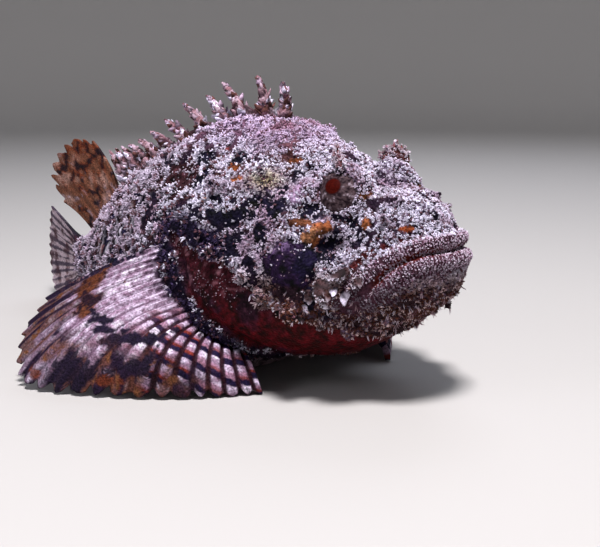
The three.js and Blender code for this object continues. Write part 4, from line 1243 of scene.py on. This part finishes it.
web_rays = [
    [(s, 0, z), SPINE_BOW, (s + (e - s) * WEB_REACH, 0, z + (h - z) * WEB_REACH)]
    for s, z, e, h in BACK_SPINES
]
web = fin(
    "back_fin_web", web_rays, rays=len(BACK_SPINES), rows=14, notch=0.25,
    thickness=lambda share, along: (1.6 - 0.4 * along, 1.2 - 0.5 * along),
    put=lambda spread, roots, share, along: place(spread),
    colours=lambda share, along, ray, from_ray, spots: WEB_SHADE * paint_spines(spots),
)
web.data.materials.append(fin_skin)
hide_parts("dorsal_fin_spiny")
rows = np.linspace(0, 1, 26)
thick = spine_radius(rows) * (1 + 0.1 * np.sin(rows * 40))
spines = join([
    tube(f"spine_{number + 1}", spine_point(spine, rows), thick * MM, sides=12, lumps=0.22)
    for number, spine in enumerate(BACK_SPINES)
])
spines.name = "back_fin_spines"
write_colours(spines.data, paint_spines(spots_of(read_points(spines.data))))
spines.data.materials.append(fin_skin)
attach(spines, "root")

# The tentacle over each eye: a short ragged crest of skin, brown-pink with a pale fringe.
CREST_GRAIN = 0.28 * MM
CREST_BROWN = (0.14, 0.045, 0.045)
CREST_PINK = (0.3, 0.14, 0.2)
crests = []
for node in ("eye_tentacle_right", "eye_tentacle_left"):
    crest = node_copy(node, node + "_crest")
    cast_over(crest, CREST_GRAIN)
    rounding = crest.modifiers.new("rounding", "SMOOTH")
    rounding.iterations = 6
    apply_all(crest)
    bpy.ops.object.shade_smooth()
    places = spots_of(read_points(crest.data))
    pink = step(0, 0.8, cloud(places, 2, 81))
    write_colours(crest.data, layered(CREST_BROWN, places, (CREST_PINK, pink)))
    crest.data.materials.clear()
    crest.data.materials.append(fin_skin)
    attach(crest, "root")
    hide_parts(node)
    crests.append(crest)

# The coat: many thousand small branched filaments of skin, pale at the tips, rooted in the
# hide and leaning back along the body. They are shortest on the face, where most are blunt
# grains, long and thin under the chin, and leaf-like on the back's spines.
SEED = 11
TUFT_VARIANTS = 6
COAT_LIMIT = 190000  # triangles in one piece of the coat
COAT_LIE = (-1, 0, -0.35)  # the way it lies: back along the body and a little down
ROOT_PATCH = 0.003  # side of a tuft's patch on the unwrapped skin
TRIES = 2.2  # random places for each square of the spacing, of which one may stay
TIP_WHITE = (0.86, 0.82, 1)
TIP_MAUVE = (0.5, 0.36, 0.5)
TIP_LILAC = (0.6, 0.43, 0.66)
TIP_ROSE = (0.27, 0.075, 0.12)
TIP_BUFF = (0.74, 0.5, 0.46)
TIP_BROWN = (0.12, 0.04, 0.024)
TIP_YELLOW = (0.62, 0.56, 0.25)
TIP_DUSK = (0.54, 0.43, 0.56)
# painted shade on the filament tips in the cleft behind the gill membrane
TIP_CLEFT_SHADE = (0.05, 0.035, 0.09)
TIP_PLUM = (0.16, 0.07, 0.09)
PLATE_DARK = np.array((0.026, 0.009, 0.009))
UNWRAP_GRAIN = 3.5 * MM
TUFT_KINDS = {  # fingers, and for each its spread, rise and thickness at base and tip
    "branched": {"fingers": 4, "spread": (0.25, 0.55), "rise": (0.3, 0.6), "thick": (0.15, 0.09)},
    "grain": {"fingers": 3, "spread": (0.2, 0.55), "rise": (0.4, 0.75), "thick": (0.3, 0.2)},
    "pebble": {"fingers": 2, "spread": (0.1, 0.4), "rise": (0.4, 0.7), "thick": (0.34, 0.24)},
    "strand": {"fingers": 2, "spread": (0.05, 0.3), "rise": (0.6, 0.95), "thick": (0.1, 0.03)},
}


def finger(base, tip, thick, thin):
    """One blunt filament from base to tip."""
    base, tip = Vector(base), Vector(tip)
    run = tip - base
    bpy.ops.mesh.primitive_cone_add(
        vertices=3, radius1=thick, radius2=thin, depth=run.length,
        location=(base + tip) / 2, rotation=run.to_track_quat("Z", "Y").to_euler(),
    )
    return bpy.context.object


def joined_shape(pieces):
    """Points and triangles of some pieces taken together; the pieces themselves go."""
    shape = join(pieces)
    bpy.ops.object.transform_apply(location=True, rotation=True, scale=True)
    points, triangles = read_points(shape.data), read_triangles(shape.data)
    bpy.data.objects.remove(shape)
    return points, triangles


def tuft_shape(kind):
    """One branched tuft, about one unit tall, with its root at zero."""
    form = TUFT_KINDS[kind]
    thick, thin = form["thick"]
    fingers = []
    if kind == "branched":
        knee = Vector((draw.uniform(-0.06, 0.06), draw.uniform(-0.06, 0.06), 0.42))
        fingers.append(finger((0, 0, -0.2), knee, 0.15, 0.11))
    turn = draw.uniform(0, 2 * math.pi)
    for number in range(form["fingers"]):
        turn += 2 * math.pi / form["fingers"] + draw.uniform(-0.4, 0.4)
        spread = draw.uniform(*form["spread"])
        start = Vector((0, 0, draw.uniform(0.12, 0.4) if kind == "branched" else -0.25))
        side = Vector((math.cos(turn) * spread, math.sin(turn) * spread, 0))
        rise = draw.uniform(*form["rise"]) - (0 if kind == "branched" else start.z)
        fingers.append(finger(start, start + side + Vector((0, 0, rise)), thick, thin))
    return joined_shape(fingers)


def leaf_shape():
    """A fleshy lobe, one unit tall, widest near its middle and pointed at its tip."""
    bpy.ops.object.select_all(action="DESELECT")
    bpy.ops.mesh.primitive_uv_sphere_add(segments=6, ring_count=6, radius=0.5)
    points, faces = joined_shape([bpy.context.object])
    height = points[:, 2] + 0.5
    points[:, 0] *= 1.1 - 0.55 * height
    points[:, 0] += 0.07 * np.sin(height * 8 + draw.uniform(0, 6))
    points[:, 1] *= 0.26
    points[:, 1] += 0.22 * draw.uniform(0.3, 1) * height**2
    points[:, 2] = height * 1.1 - 0.12 + 0.14 * step(0.85, 1, height)
    return points, faces


def plate_shape():
    """A thin fleshy plate, one unit long, broad, cupped, and notched at its far edge."""
    bpy.ops.object.select_all(action="DESELECT")
    bpy.ops.mesh.primitive_uv_sphere_add(segments=8, ring_count=6, radius=0.5)
    points, faces = joined_shape([bpy.context.object])
    height = points[:, 2] + 0.5
    points[:, 0] *= 0.78 + 0.2 * np.sin(height * 9 + draw.uniform(0, 6))
    points[:, 1] = 0.12 * points[:, 1] - 0.12 * height**2 + 0.35 * points[:, 0] ** 2
    points[:, 2] = height * (1 - 0.16 * np.cos(points[:, 0] * 13 + draw.uniform(0, 6)) * height) - 0.1
    return points, faces


def skin_unwrap():
    """A coarse cast of the skin, unwrapped: its triangles for search, and their UV corners."""
    coarse = bpy.data.objects.new("unwrap", skin.data.copy())
    bpy.context.collection.objects.link(coarse)
    choose(coarse)
    cast_over(coarse, UNWRAP_GRAIN)
    coarse.modifiers.new("split", "TRIANGULATE")
    apply_all(coarse)
    bpy.ops.object.mode_set(mode="EDIT")
    bpy.ops.mesh.select_all(action="SELECT")
    bpy.ops.uv.smart_project(island_margin=0.005)
    bpy.ops.object.mode_set(mode="OBJECT")
    mesh = coarse.data
    points = [tuple(p) for p in read_points(mesh)]
    faces = [tuple(face.vertices) for face in mesh.polygons]
    layer = mesh.uv_layers.active.data
    corners = [[layer[k].uv.copy() for k in face.loop_indices] for face in mesh.polygons]
    bpy.data.objects.remove(coarse)
    return BVHTree.FromPolygons(points, faces), points, faces, corners


def root_patches(roots):
    """Place of each root on the unwrapped skin."""
    search, points, faces, corners = unwrapped
    found = np.zeros((len(roots), 2))
    for index, root in enumerate(roots):
        spot, _, face, _ = search.find_nearest(Vector(root))
        a, b, c = (Vector(points[k]) for k in faces[face])
        uvs = [Vector((*uv, 0)) for uv in corners[face]]
        found[index] = geometry.barycentric_transform(spot, a, b, c, *uvs)[:2]
    return found


def scatter(mesh, spacing, cover):
    """Seeded places on a surface, about this far apart, kept where the cover says so."""
    triangles = read_triangles(mesh)
    points, normals = read_points(mesh), read_normals(mesh)
    a, b, c = (points[triangles[:, k]] for k in range(3))
    area = np.linalg.norm(np.cross(b - a, c - a), axis=1) / 2
    count = int(TRIES * area.sum() / spacing**2)
    chosen = draw.choice(len(area), count, p=area / area.sum())
    weight = draw.dirichlet((1, 1, 1), count)
    picked = triangles[chosen]
    roots = (points[picked] * weight[:, :, None]).sum(1)
    facing = (normals[picked] * weight[:, :, None]).sum(1)
    facing /= np.linalg.norm(facing, axis=1, keepdims=True)
    kept = draw.random(count) < cover(spots_of(roots))
    roots, facing = roots[kept], facing[kept]
    cells = np.floor(roots / spacing).astype(np.int64)
    _, first = np.unique(cells, axis=0, return_index=True)
    return roots[first], facing[first]


def lean(facing, out, back, loose):
    """Direction of each tuft: out from the skin, back along the body, and a little loose."""
    lie = np.tile(COAT_LIE, (len(facing), 1))
    lie -= facing * (lie * facing).sum(1)[:, None]
    way = out * facing + back * lie + loose * draw.normal(size=facing.shape)
    return way / np.linalg.norm(way, axis=1, keepdims=True)


def grow(name, kind, roots, way, lengths, tints, slimness=1.0, facing=None):
    """Coat pieces of tufts at these roots, split so that none has too many triangles."""
    shapes = tuft_shapes[kind]
    variant = draw.integers(0, len(shapes), len(roots))
    order = np.argsort(-roots[:, 0])
    parts = max(1, math.ceil(len(roots) * len(shapes[0][1]) / COAT_LIMIT))
    patches = root_patches(roots)
    skin_colours = paint(spots_of(roots))
    for number, members in enumerate(np.array_split(order, parts)):
        all_points, all_faces, all_colours, all_uvs = [], [], [], []
        passed = 0
        for which, (shape, faces) in enumerate(shapes):
            mine = members[variant[members] == which]
            if not len(mine):
                continue
            third = way[mine]
            beside = draw.normal(size=third.shape) if facing is None else facing[mine]
            first = np.cross(third, beside)
            first /= np.linalg.norm(first, axis=1, keepdims=True)
            second = np.cross(third, first)
            wide = shape[None, :, :] * [slimness, slimness, 1]
            spread = (
                wide[:, :, :1] * first[:, None] + wide[:, :, 1:2] * second[:, None]
                + wide[:, :, 2:] * third[:, None]
            )
            points = roots[mine][:, None] + spread * lengths[mine][:, None, None]
            share = np.clip(0.1 + shape[:, 2] * 1.7, 0, 1)[None, :, None]
            if kind == "plate":
                edge = np.hypot(shape[:, 0] / 0.47, (shape[:, 2] - 0.4) / 0.5)
                rim = step(0.88, 1, edge) * step(0.3, 0.6, shape[:, 2])
                share = (0.04 + 0.96 * rim)[None, :, None]
            under, over = skin_colours[mine][:, None], tints[mine][:, None]
            mottle = cloud(spots_of(points.reshape(-1, 3)), 0.8, 33).reshape(len(mine), -1, 1)
            if kind == "plate":
                under = (0.06 * under + PLATE_DARK) * np.clip(1 + 1.8 * mottle, 0.1, 3)
                share = share * np.clip(1 + 1.2 * mottle, 0.2, 1)
            # On leaves the tint is mottled at random, and its brightest spots, above the tint itself,
            # are painted highlights
            if kind == "leaf":
                under = 0.3 * under
                over = over * np.clip(0.9 + 1.5 * mottle, 0.12, 1.5)
            colours = under * (1 - share) + over * share
            flat = shape[:, :2] / np.abs(shape[:, :2]).max() * ROOT_PATCH / 2
            uvs = patches[mine][:, None] + flat[None]
            count, each = len(mine), len(shape)
            starts = passed + each * np.arange(count)
            all_faces.append((faces[None] + starts[:, None, None]).reshape(-1, 3))
            all_points.append(points.reshape(-1, 3))
            all_colours.append(colours.reshape(-1, 3))
            all_uvs.append(uvs.reshape(-1, 2))
            passed += count * each
        points = np.concatenate(all_points)
        points[:, 2] = np.maximum(points[:, 2], FLOOR_GAP * MM)
        faces = np.concatenate(all_faces)
        mesh = bpy.data.meshes.new(f"{name}_{number + 1}")
        mesh.vertices.add(len(points))
        mesh.loops.add(faces.size)
        mesh.polygons.add(len(faces))
        mesh.loops.foreach_set("vertex_index", faces.ravel().astype(np.int32))
        mesh.polygons.foreach_set("loop_start", np.arange(0, faces.size, 3, dtype=np.int32))
        write_points(mesh, points)
        mesh.update(calc_edges=True)
        write_colours(mesh, np.concatenate(all_colours))
        layer = mesh.uv_layers.new(name="OFBake")
        places = np.concatenate(all_uvs)[faces.ravel()]
        layer.data.foreach_set("uv", places.astype(np.float32).ravel())
        piece = bpy.data.objects.new(mesh.name, mesh)
        bpy.context.collection.objects.link(piece)
        mesh.materials.append(soft_filament)
        choose(piece)
        bpy.ops.object.shade_smooth()
        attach(piece, "root")


draw = np.random.default_rng(SEED)
tuft_shapes = {
    kind: [tuft_shape(kind) for _ in range(TUFT_VARIANTS)] for kind in TUFT_KINDS
}
tuft_shapes["leaf"] = [leaf_shape() for _ in range(TUFT_VARIANTS)]
tuft_shapes["plate"] = [plate_shape() for _ in range(TUFT_VARIANTS)]
unwrapped = skin_unwrap()
soft_filament = hide_material(
    "soft_filament", fleck_size=2600, fleck_strength=0.4, roughness=0.7, relief=0.05 * MM
)


def filament_tints(spots):
    """Colour of each tuft's tips: lavender white, rosy on the nape, brown on the chin."""
    station, _, height = spots.T
    broad = cloud(spots, 9, 31) + 0.7 * cloud(spots, 3, 32)
    rosy = bump(spots, (60, 7, 82), (7, 8, 4)) + bump(spots, (92, 6, 80), (7, 9, 4))
    low_chin = step(44, 34, height) * step(60, 40, station)
    tint = layered(
        TIP_WHITE, spots,
        (TIP_MAUVE, step(-0.3, 1, broad)),
        (TIP_LILAC, 0.7 * step(72, 80, height)),
        (TIP_ROSE, 0.75 * step(0.5, 1, rosy + 0.35 * broad)),
        (TIP_BUFF, 0.8 * low_chin),
        (TIP_BROWN, low_chin * (draw.random(len(spots)) < 0.74)),
        (TIP_YELLOW, 0.7 * bump(spots, (53.2, 24, 66), (5, 6, 3))),
        (TIP_DUSK, 0.7 * step(95, 115, station)),
        # painted shade: the tips darkened in the cleft behind the gill membrane
        (TIP_CLEFT_SHADE, gill_cleft_shade(spots) * (draw.random(len(spots)) < 0.86)),
        (TIP_PLUM, step(0.68, 0.92, draw.random(len(spots)))),
    )
    return tint * draw.uniform(0.6, 1.15, (len(spots), 1))


# Branched tufts all over, finer on the face, then blunt grains close among them in front
roots, facing = scatter(skin.data, 1.25 * MM, frosting)
spots = spots_of(roots)
face_share = step(90, 30, spots[:, 0])
lengths = (1.9 - 0.85 * face_share) * draw.uniform(0.65, 1.3, len(roots)) * MM
way = lean(facing, out=1, back=0.35, loose=0.4)
grow("coat", "branched", roots, way, lengths, filament_tints(spots))


def front_frosting(spots):
    """The same cover, thinning out towards the tail."""
    return frosting(spots) * step(170, 70, spots[:, 0])


roots, facing = scatter(skin.data, 0.75 * MM, front_frosting)
spots = spots_of(roots)
lengths = draw.uniform(0.55, 1.1, len(roots)) * MM
way = lean(facing, out=1, back=0.15, loose=0.5)
grow("grains", "grain", roots, way, lengths, filament_tints(spots))

# Where the hide shows it is pebbled in its own colours, with a pale grain here and there,
# and small pale warts are sprinkled on the gill membrane and the cheek's dome.
WART_MAUVE = np.array((0.52, 0.38, 0.48))


def bare_hide(spots):
    """Where the hide shows: in the dark gaps and on the coloured patches, not on the domes."""
    share = (1 - frosting(spots)) * (1 - smoothness(spots)) * step(3, 8, spots[:, 2])
    return 0.8 * share * step(120, 90, spots[:, 0])


def specked_membrane(spots):
    """Where small pale warts sit on the gill membrane and the cheek's dome."""
    depth = gill_depth(spots)
    patchy = step(-0.2, 0.6, cloud(spots, 5, 27) + 0.5 * cloud(spots, 2, 28))
    warty = 0.55 * step(0.5, 1.5, depth) * step(24, 36, spots[:, 2]) * patchy
    return warty + 0.14 * bump(spots, (39, 28, 45), (6, 9, 6))


roots, facing = scatter(skin.data, 0.95 * MM, bare_hide)
specks, outward = scatter(skin.data, 0.9 * MM, specked_membrane)
speck_tints = WART_MAUVE * draw.uniform(0.3, 1.2, (len(specks), 1))
spots = spots_of(roots)
lengths = draw.uniform(0.35, 0.75, len(roots)) * MM
way = lean(facing, out=1, back=0.1, loose=0.4)
tints = np.clip(paint(spots) * draw.uniform(0.5, 2, (len(roots), 1)), 0, 0.8)
tints = blend(tints, filament_tints(spots), 0.9 * (draw.random(len(roots)) < 0.2))
grow("pebbles", "pebble", roots, way, lengths, tints)
lengths = draw.uniform(0.3, 0.6, len(specks)) * MM
way = lean(outward, out=1, back=0, loose=0.4)
grow("warts", "pebble", specks, way, lengths, speck_tints)

# The lips' papillae: small blunt pegs of skin, plum to pale, in rows along the pleats of
# both lips, and darker low down on the chin.
PAPILLA_PLUM = (0.3, 0.15, 0.24)
PAPILLA_PALE = (0.88, 0.78, 0.94)


def on_pleats(spots):
    """Where papillae stand on the lips, in rows that follow the pleats."""
    away, along = to_line(folded(spots), MOUTH)
    turn = 2 * np.pi * (along + pleat_waver(spots)) / PLEAT_WIDTH
    reach = np.where(mouth_side(spots) > 0, 5.4, 9.5)
    ridge = np.sin(turn + 1.5) + 1.1 * cloud(spots, 1.7, 26)
    return step(reach + 1, reach - 1, away) * step(0.9, 1.5, away) * step(-0.6, 0.8, ridge)


roots, facing = scatter(skin.data, 0.46 * MM, on_pleats)
spots = spots_of(roots)
lengths = draw.uniform(0.35, 0.65, len(roots)) * MM
way = lean(facing, out=1, back=0, loose=0.4)
tints = layered(PAPILLA_PLUM, roots, (PAPILLA_PALE, draw.random(len(roots))))
tints *= np.where(mouth_side(spots) > 0, 1.15, 1)[:, None] * (1 - 0.6 * step(42, 35, spots[:, 2:]))
grow("lip_papillae", "grain", roots, way, lengths, tints)

# The beard: long thin strands of skin, pale to brown, that hang under the chin and along
# the cheek's lower edge.
STRAND_PALE = (0.8, 0.72, 0.86)
STRAND_BROWN = (0.5, 0.3, 0.34)


def under_chin(spots):
    """Where strands hang: under the chin and along the cheek's lower edge."""
    chin = step(46, 34, spots[:, 0]) * step(38, 32, spots[:, 2]) * step(12, 20, spots[:, 2])
    away = to_line(spots[:, [0, 2]], CHEEK_MARGIN[2:])[0]
    margin = step(3, 1, away) * step(10, 14, np.abs(spots[:, 1]))
    return np.maximum(0.8 * chin, margin) * step(0.5, 0, gill_depth(spots))


roots, facing = scatter(skin.data, 3 * MM, under_chin)
spots = spots_of(roots)
way = lean(facing, out=0.5, back=0, loose=0.35) + [0, 0, -0.7]
way /= np.linalg.norm(way, axis=1, keepdims=True)
lengths = draw.uniform(1.3, 2.8, len(roots)) * MM
tints = layered(STRAND_PALE, roots, (STRAND_BROWN, draw.random(len(roots))))
grow("chin_strands", "strand", roots, way, lengths, tints)

# The longer flaps of skin: branched tufts in clusters at a few places of each side, each
# cluster longest at its middle.
CLUSTER_REACH = 2.4
CLUSTERS = [  # station, height, longest tuft in millimetres
    (22.5, 37.5, 2.8), (36, 31, 3), (46, 30.8, 3.4), (51, 38.5, 2.8), (63, 44.5, 3),
    (14, 56, 2.2), (54, 67, 2.6), (67, 63, 3), (44, 70.5, 2), (59, 77.5, 2.2), (77, 53, 2.6),
    (94, 60, 3.2), (108, 62, 3.4), (122, 51.5, 3), (136, 45, 2.8), (88, 72, 2.8), (100, 70, 2.8),
    (6.5, 58, 1.8), (72, 70, 3), (84, 60, 2.6), (27, 47, 1.6), (40, 58, 2),
]
seeds, facing = scatter(skin.data, 0.8 * MM, lambda spots: np.ones(len(spots)))
spots = spots_of(seeds)
roots, ways, lengths = [], [], []
for station, height, longest in CLUSTERS:
    away = np.hypot(spots[:, 0] - station, spots[:, 2] - height)
    near = np.flatnonzero((away < CLUSTER_REACH) & (np.abs(spots[:, 1]) > 6))
    near = near[draw.random(len(near)) < 0.75]
    reach = longest * (1 - 0.5 * away[near] / CLUSTER_REACH) * draw.uniform(0.7, 1.1, len(near))
    roots.append(seeds[near])
    ways.append(lean(facing[near], out=1, back=0.5, loose=0.25))
    lengths.append(reach * MM)
roots, ways, lengths = np.concatenate(roots), np.concatenate(ways), np.concatenate(lengths)
grow("flap_tufts", "branched", roots, ways, lengths, filament_tints(spots_of(roots)), 0.7)

# Fleshy plates hang from the upper jaw's end, the jaw and the cheek's margin, dark and warty
# with pale edges, and smaller pale lobes between them, whose paleness also stands for the
# glints on these edges as a painted highlight. Each is grown on both sides.
PLATE_PALE = np.array((0.66, 0.56, 0.66))
PLATE_WART = (0.05, 0.02, 0.018)
JAW_LOBE_PALE_AND_GLINT = (0.62, 0.56, 0.7)
PLATES = [  # station and height of the root, way along and up the body, length
    (21.4, 42.5, 0, -1, 7.6), (18.2, 41, -0.1, -1, 4.4), (28.6, 39, -0.4, -1, 7.4),
    (25, 37.5, -0.1, -1, 6), (32, 35.5, -0.2, -1, 4.2), (34.5, 28.5, 0.3, -1, 3.4),
    (39, 31, 0.5, -1, 3.4), (44.5, 35, 0.6, -1, 4.6), (50, 38.6, 0.8, -0.8, 3.6),
    (56, 42.8, 0.8, -0.7, 3), (62, 45, 1, -0.5, 2.6), (30, 26, 0.2, -1, 3), (26, 23, 0.2, -1, 2.6),
]
JAW_LOBES = [  # the same of the lobes
    (19.4, 36.4, 0.1, -1, 3.6), (22.8, 37.6, -0.3, -1, 3.6), (31.6, 33.4, -0.3, -1, 2.8),
    (33.4, 31.6, -0.5, -1, 2.6), (47.4, 33.4, 0.5, -1, 2.4), (51, 36.4, 0.8, -0.6, 2.6),
]


def hung(items):
    """Where and how plates hang on both sides: root, way, outward direction and length."""
    found = []
    for station, height, behind, up, length in items:
        for side in (-1, 1):
            away = np.hypot(spots[:, 0] - station, spots[:, 2] - height)
            nearest = (away + 99 * (spots[:, 1] * side < 4)).argmin()
            out = facing[nearest]
            way = np.array((-behind, 0, up)) + 0.25 * out
            way -= out * (way @ out - 0.2)
            way /= np.linalg.norm(way)
            length_now = length * draw.uniform(0.9, 1.1) * MM
            found.append((seeds[nearest] + 0.2 * MM * out, way, out, length_now))
    return [np.array(column) for column in zip(*found)]


roots, ways, outs, lengths = hung(PLATES)
tints = PLATE_PALE * draw.uniform(0.6, 1.1, (len(roots), 1))
grow("cheek_plates", "plate", roots, ways, lengths, tints, facing=outs)
# Warts on the plates, dark inside and pale at the edge
warts, edges = [], []
for root, way, out, length in zip(roots, ways, outs, lengths):
    beside = np.cross(way, out)
    for _ in range(int((length / MM) ** 2)):
        down, off = draw.uniform(0, 0.95), draw.uniform(-0.42, 0.42)
        raised = 0.1 * down * down + 0.04 - 0.35 * off * off
        warts.append(root + (way * down + beside * off + out * raised) * length)
        edges.append(math.hypot(off / 0.42, (down - 0.4) / 0.5))
warts = np.array(warts)
outward = np.stack([0 * warts[:, 0], np.sign(warts[:, 1]), 0 * warts[:, 0]], 1)
lengths = draw.uniform(0.4, 0.8, len(warts)) * MM
tints = layered(PLATE_WART, warts, (FROST, step(0.75, 0.95, np.array(edges))))
tints *= draw.uniform(0.4, 1.1, (len(warts), 1))
way = lean(outward, out=1, back=0, loose=0.5)
grow("plate_warts", "pebble", warts, way, lengths, tints)
roots, ways, outs, lengths = hung(JAW_LOBES)
# pale lobes, their paleness partly a painted highlight for the glints on the jaw's and gill's edges
tints = np.tile(JAW_LOBE_PALE_AND_GLINT, (len(roots), 1))
grow("jaw_lobes", "leaf", roots, ways, lengths, tints, facing=outs)

# The fringe of the crests over the eyes: short upright filaments all over them, rooted in
# the crest and coloured from frosty white to brown.
FRINGE_BROWN = (0.2, 0.07, 0.08)
for crest in crests:
    roots, facing = scatter(crest.data, 0.8 * MM, lambda spots: np.full(len(spots), 0.8))
    spots = spots_of(roots)
    way = lean(facing, out=1, back=0, loose=0.4) + [0, 0, 0.5]
    lengths = draw.uniform(0.8, 1.7, len(roots)) * MM
    tints = layered(FROST, roots, (FRINGE_BROWN, draw.random(len(roots))))
    grow("fringe_" + crest.name.split("_")[2], "branched", roots, way, lengths, tints)

# The lobes of the back fin's spines: fleshy leaves in whorls from the root to the tip, where
# they are smallest and lie closest, most of a whorl in one colour.
roots, ways, outs, lengths, tints = [], [], [], [], []
for spine in BACK_SPINES:
    for level in LOBE_WHORLS:
        centre = spine_point(spine, level)[0]
        ahead = spine_point(spine, min(level + 0.03, 1))[0] - spine_point(spine, level - 0.03)[0]
        ahead /= np.linalg.norm(ahead)
        radius = spine_radius(level) * 0.8 * MM
        start = draw.uniform(0, 2 * np.pi)
        shade = LOBE_TINTS[draw.integers(len(LOBE_TINTS))]
        for lobe in range(draw.integers(LOBES_EACH - 2, LOBES_EACH + 1)):
            turn = start + 2 * np.pi * lobe / LOBES_EACH + draw.uniform(-0.4, 0.4)
            out = np.array((math.cos(turn), math.sin(turn), draw.uniform(-0.3, 0.3)))
            out -= ahead * (out @ ahead)
            out /= np.linalg.norm(out)
            roots.append(centre + out * radius * 0.8)
            loose = 0.35 * draw.normal(size=3)
            ways.append(out * (1.3 - 1.2 * level) + ahead + loose * (1.2 - level))
            outs.append(out)  # each leaf's flat side faces outward
            lengths.append(draw.uniform(1.3, 3.7) * (1.2 - 0.75 * level) * MM)
            other = LOBE_TINTS[draw.integers(len(LOBE_TINTS))]
            tints.append(np.array(shade if draw.random() < 0.7 else other) * draw.uniform(0.6, 1.1))
roots, ways = np.array(roots), np.array(ways)
ways /= np.linalg.norm(ways, axis=1, keepdims=True)
grow(
    "spine_lobes", "leaf", roots, ways, np.array(lengths), np.array(tints),
    facing=np.array(outs),
)
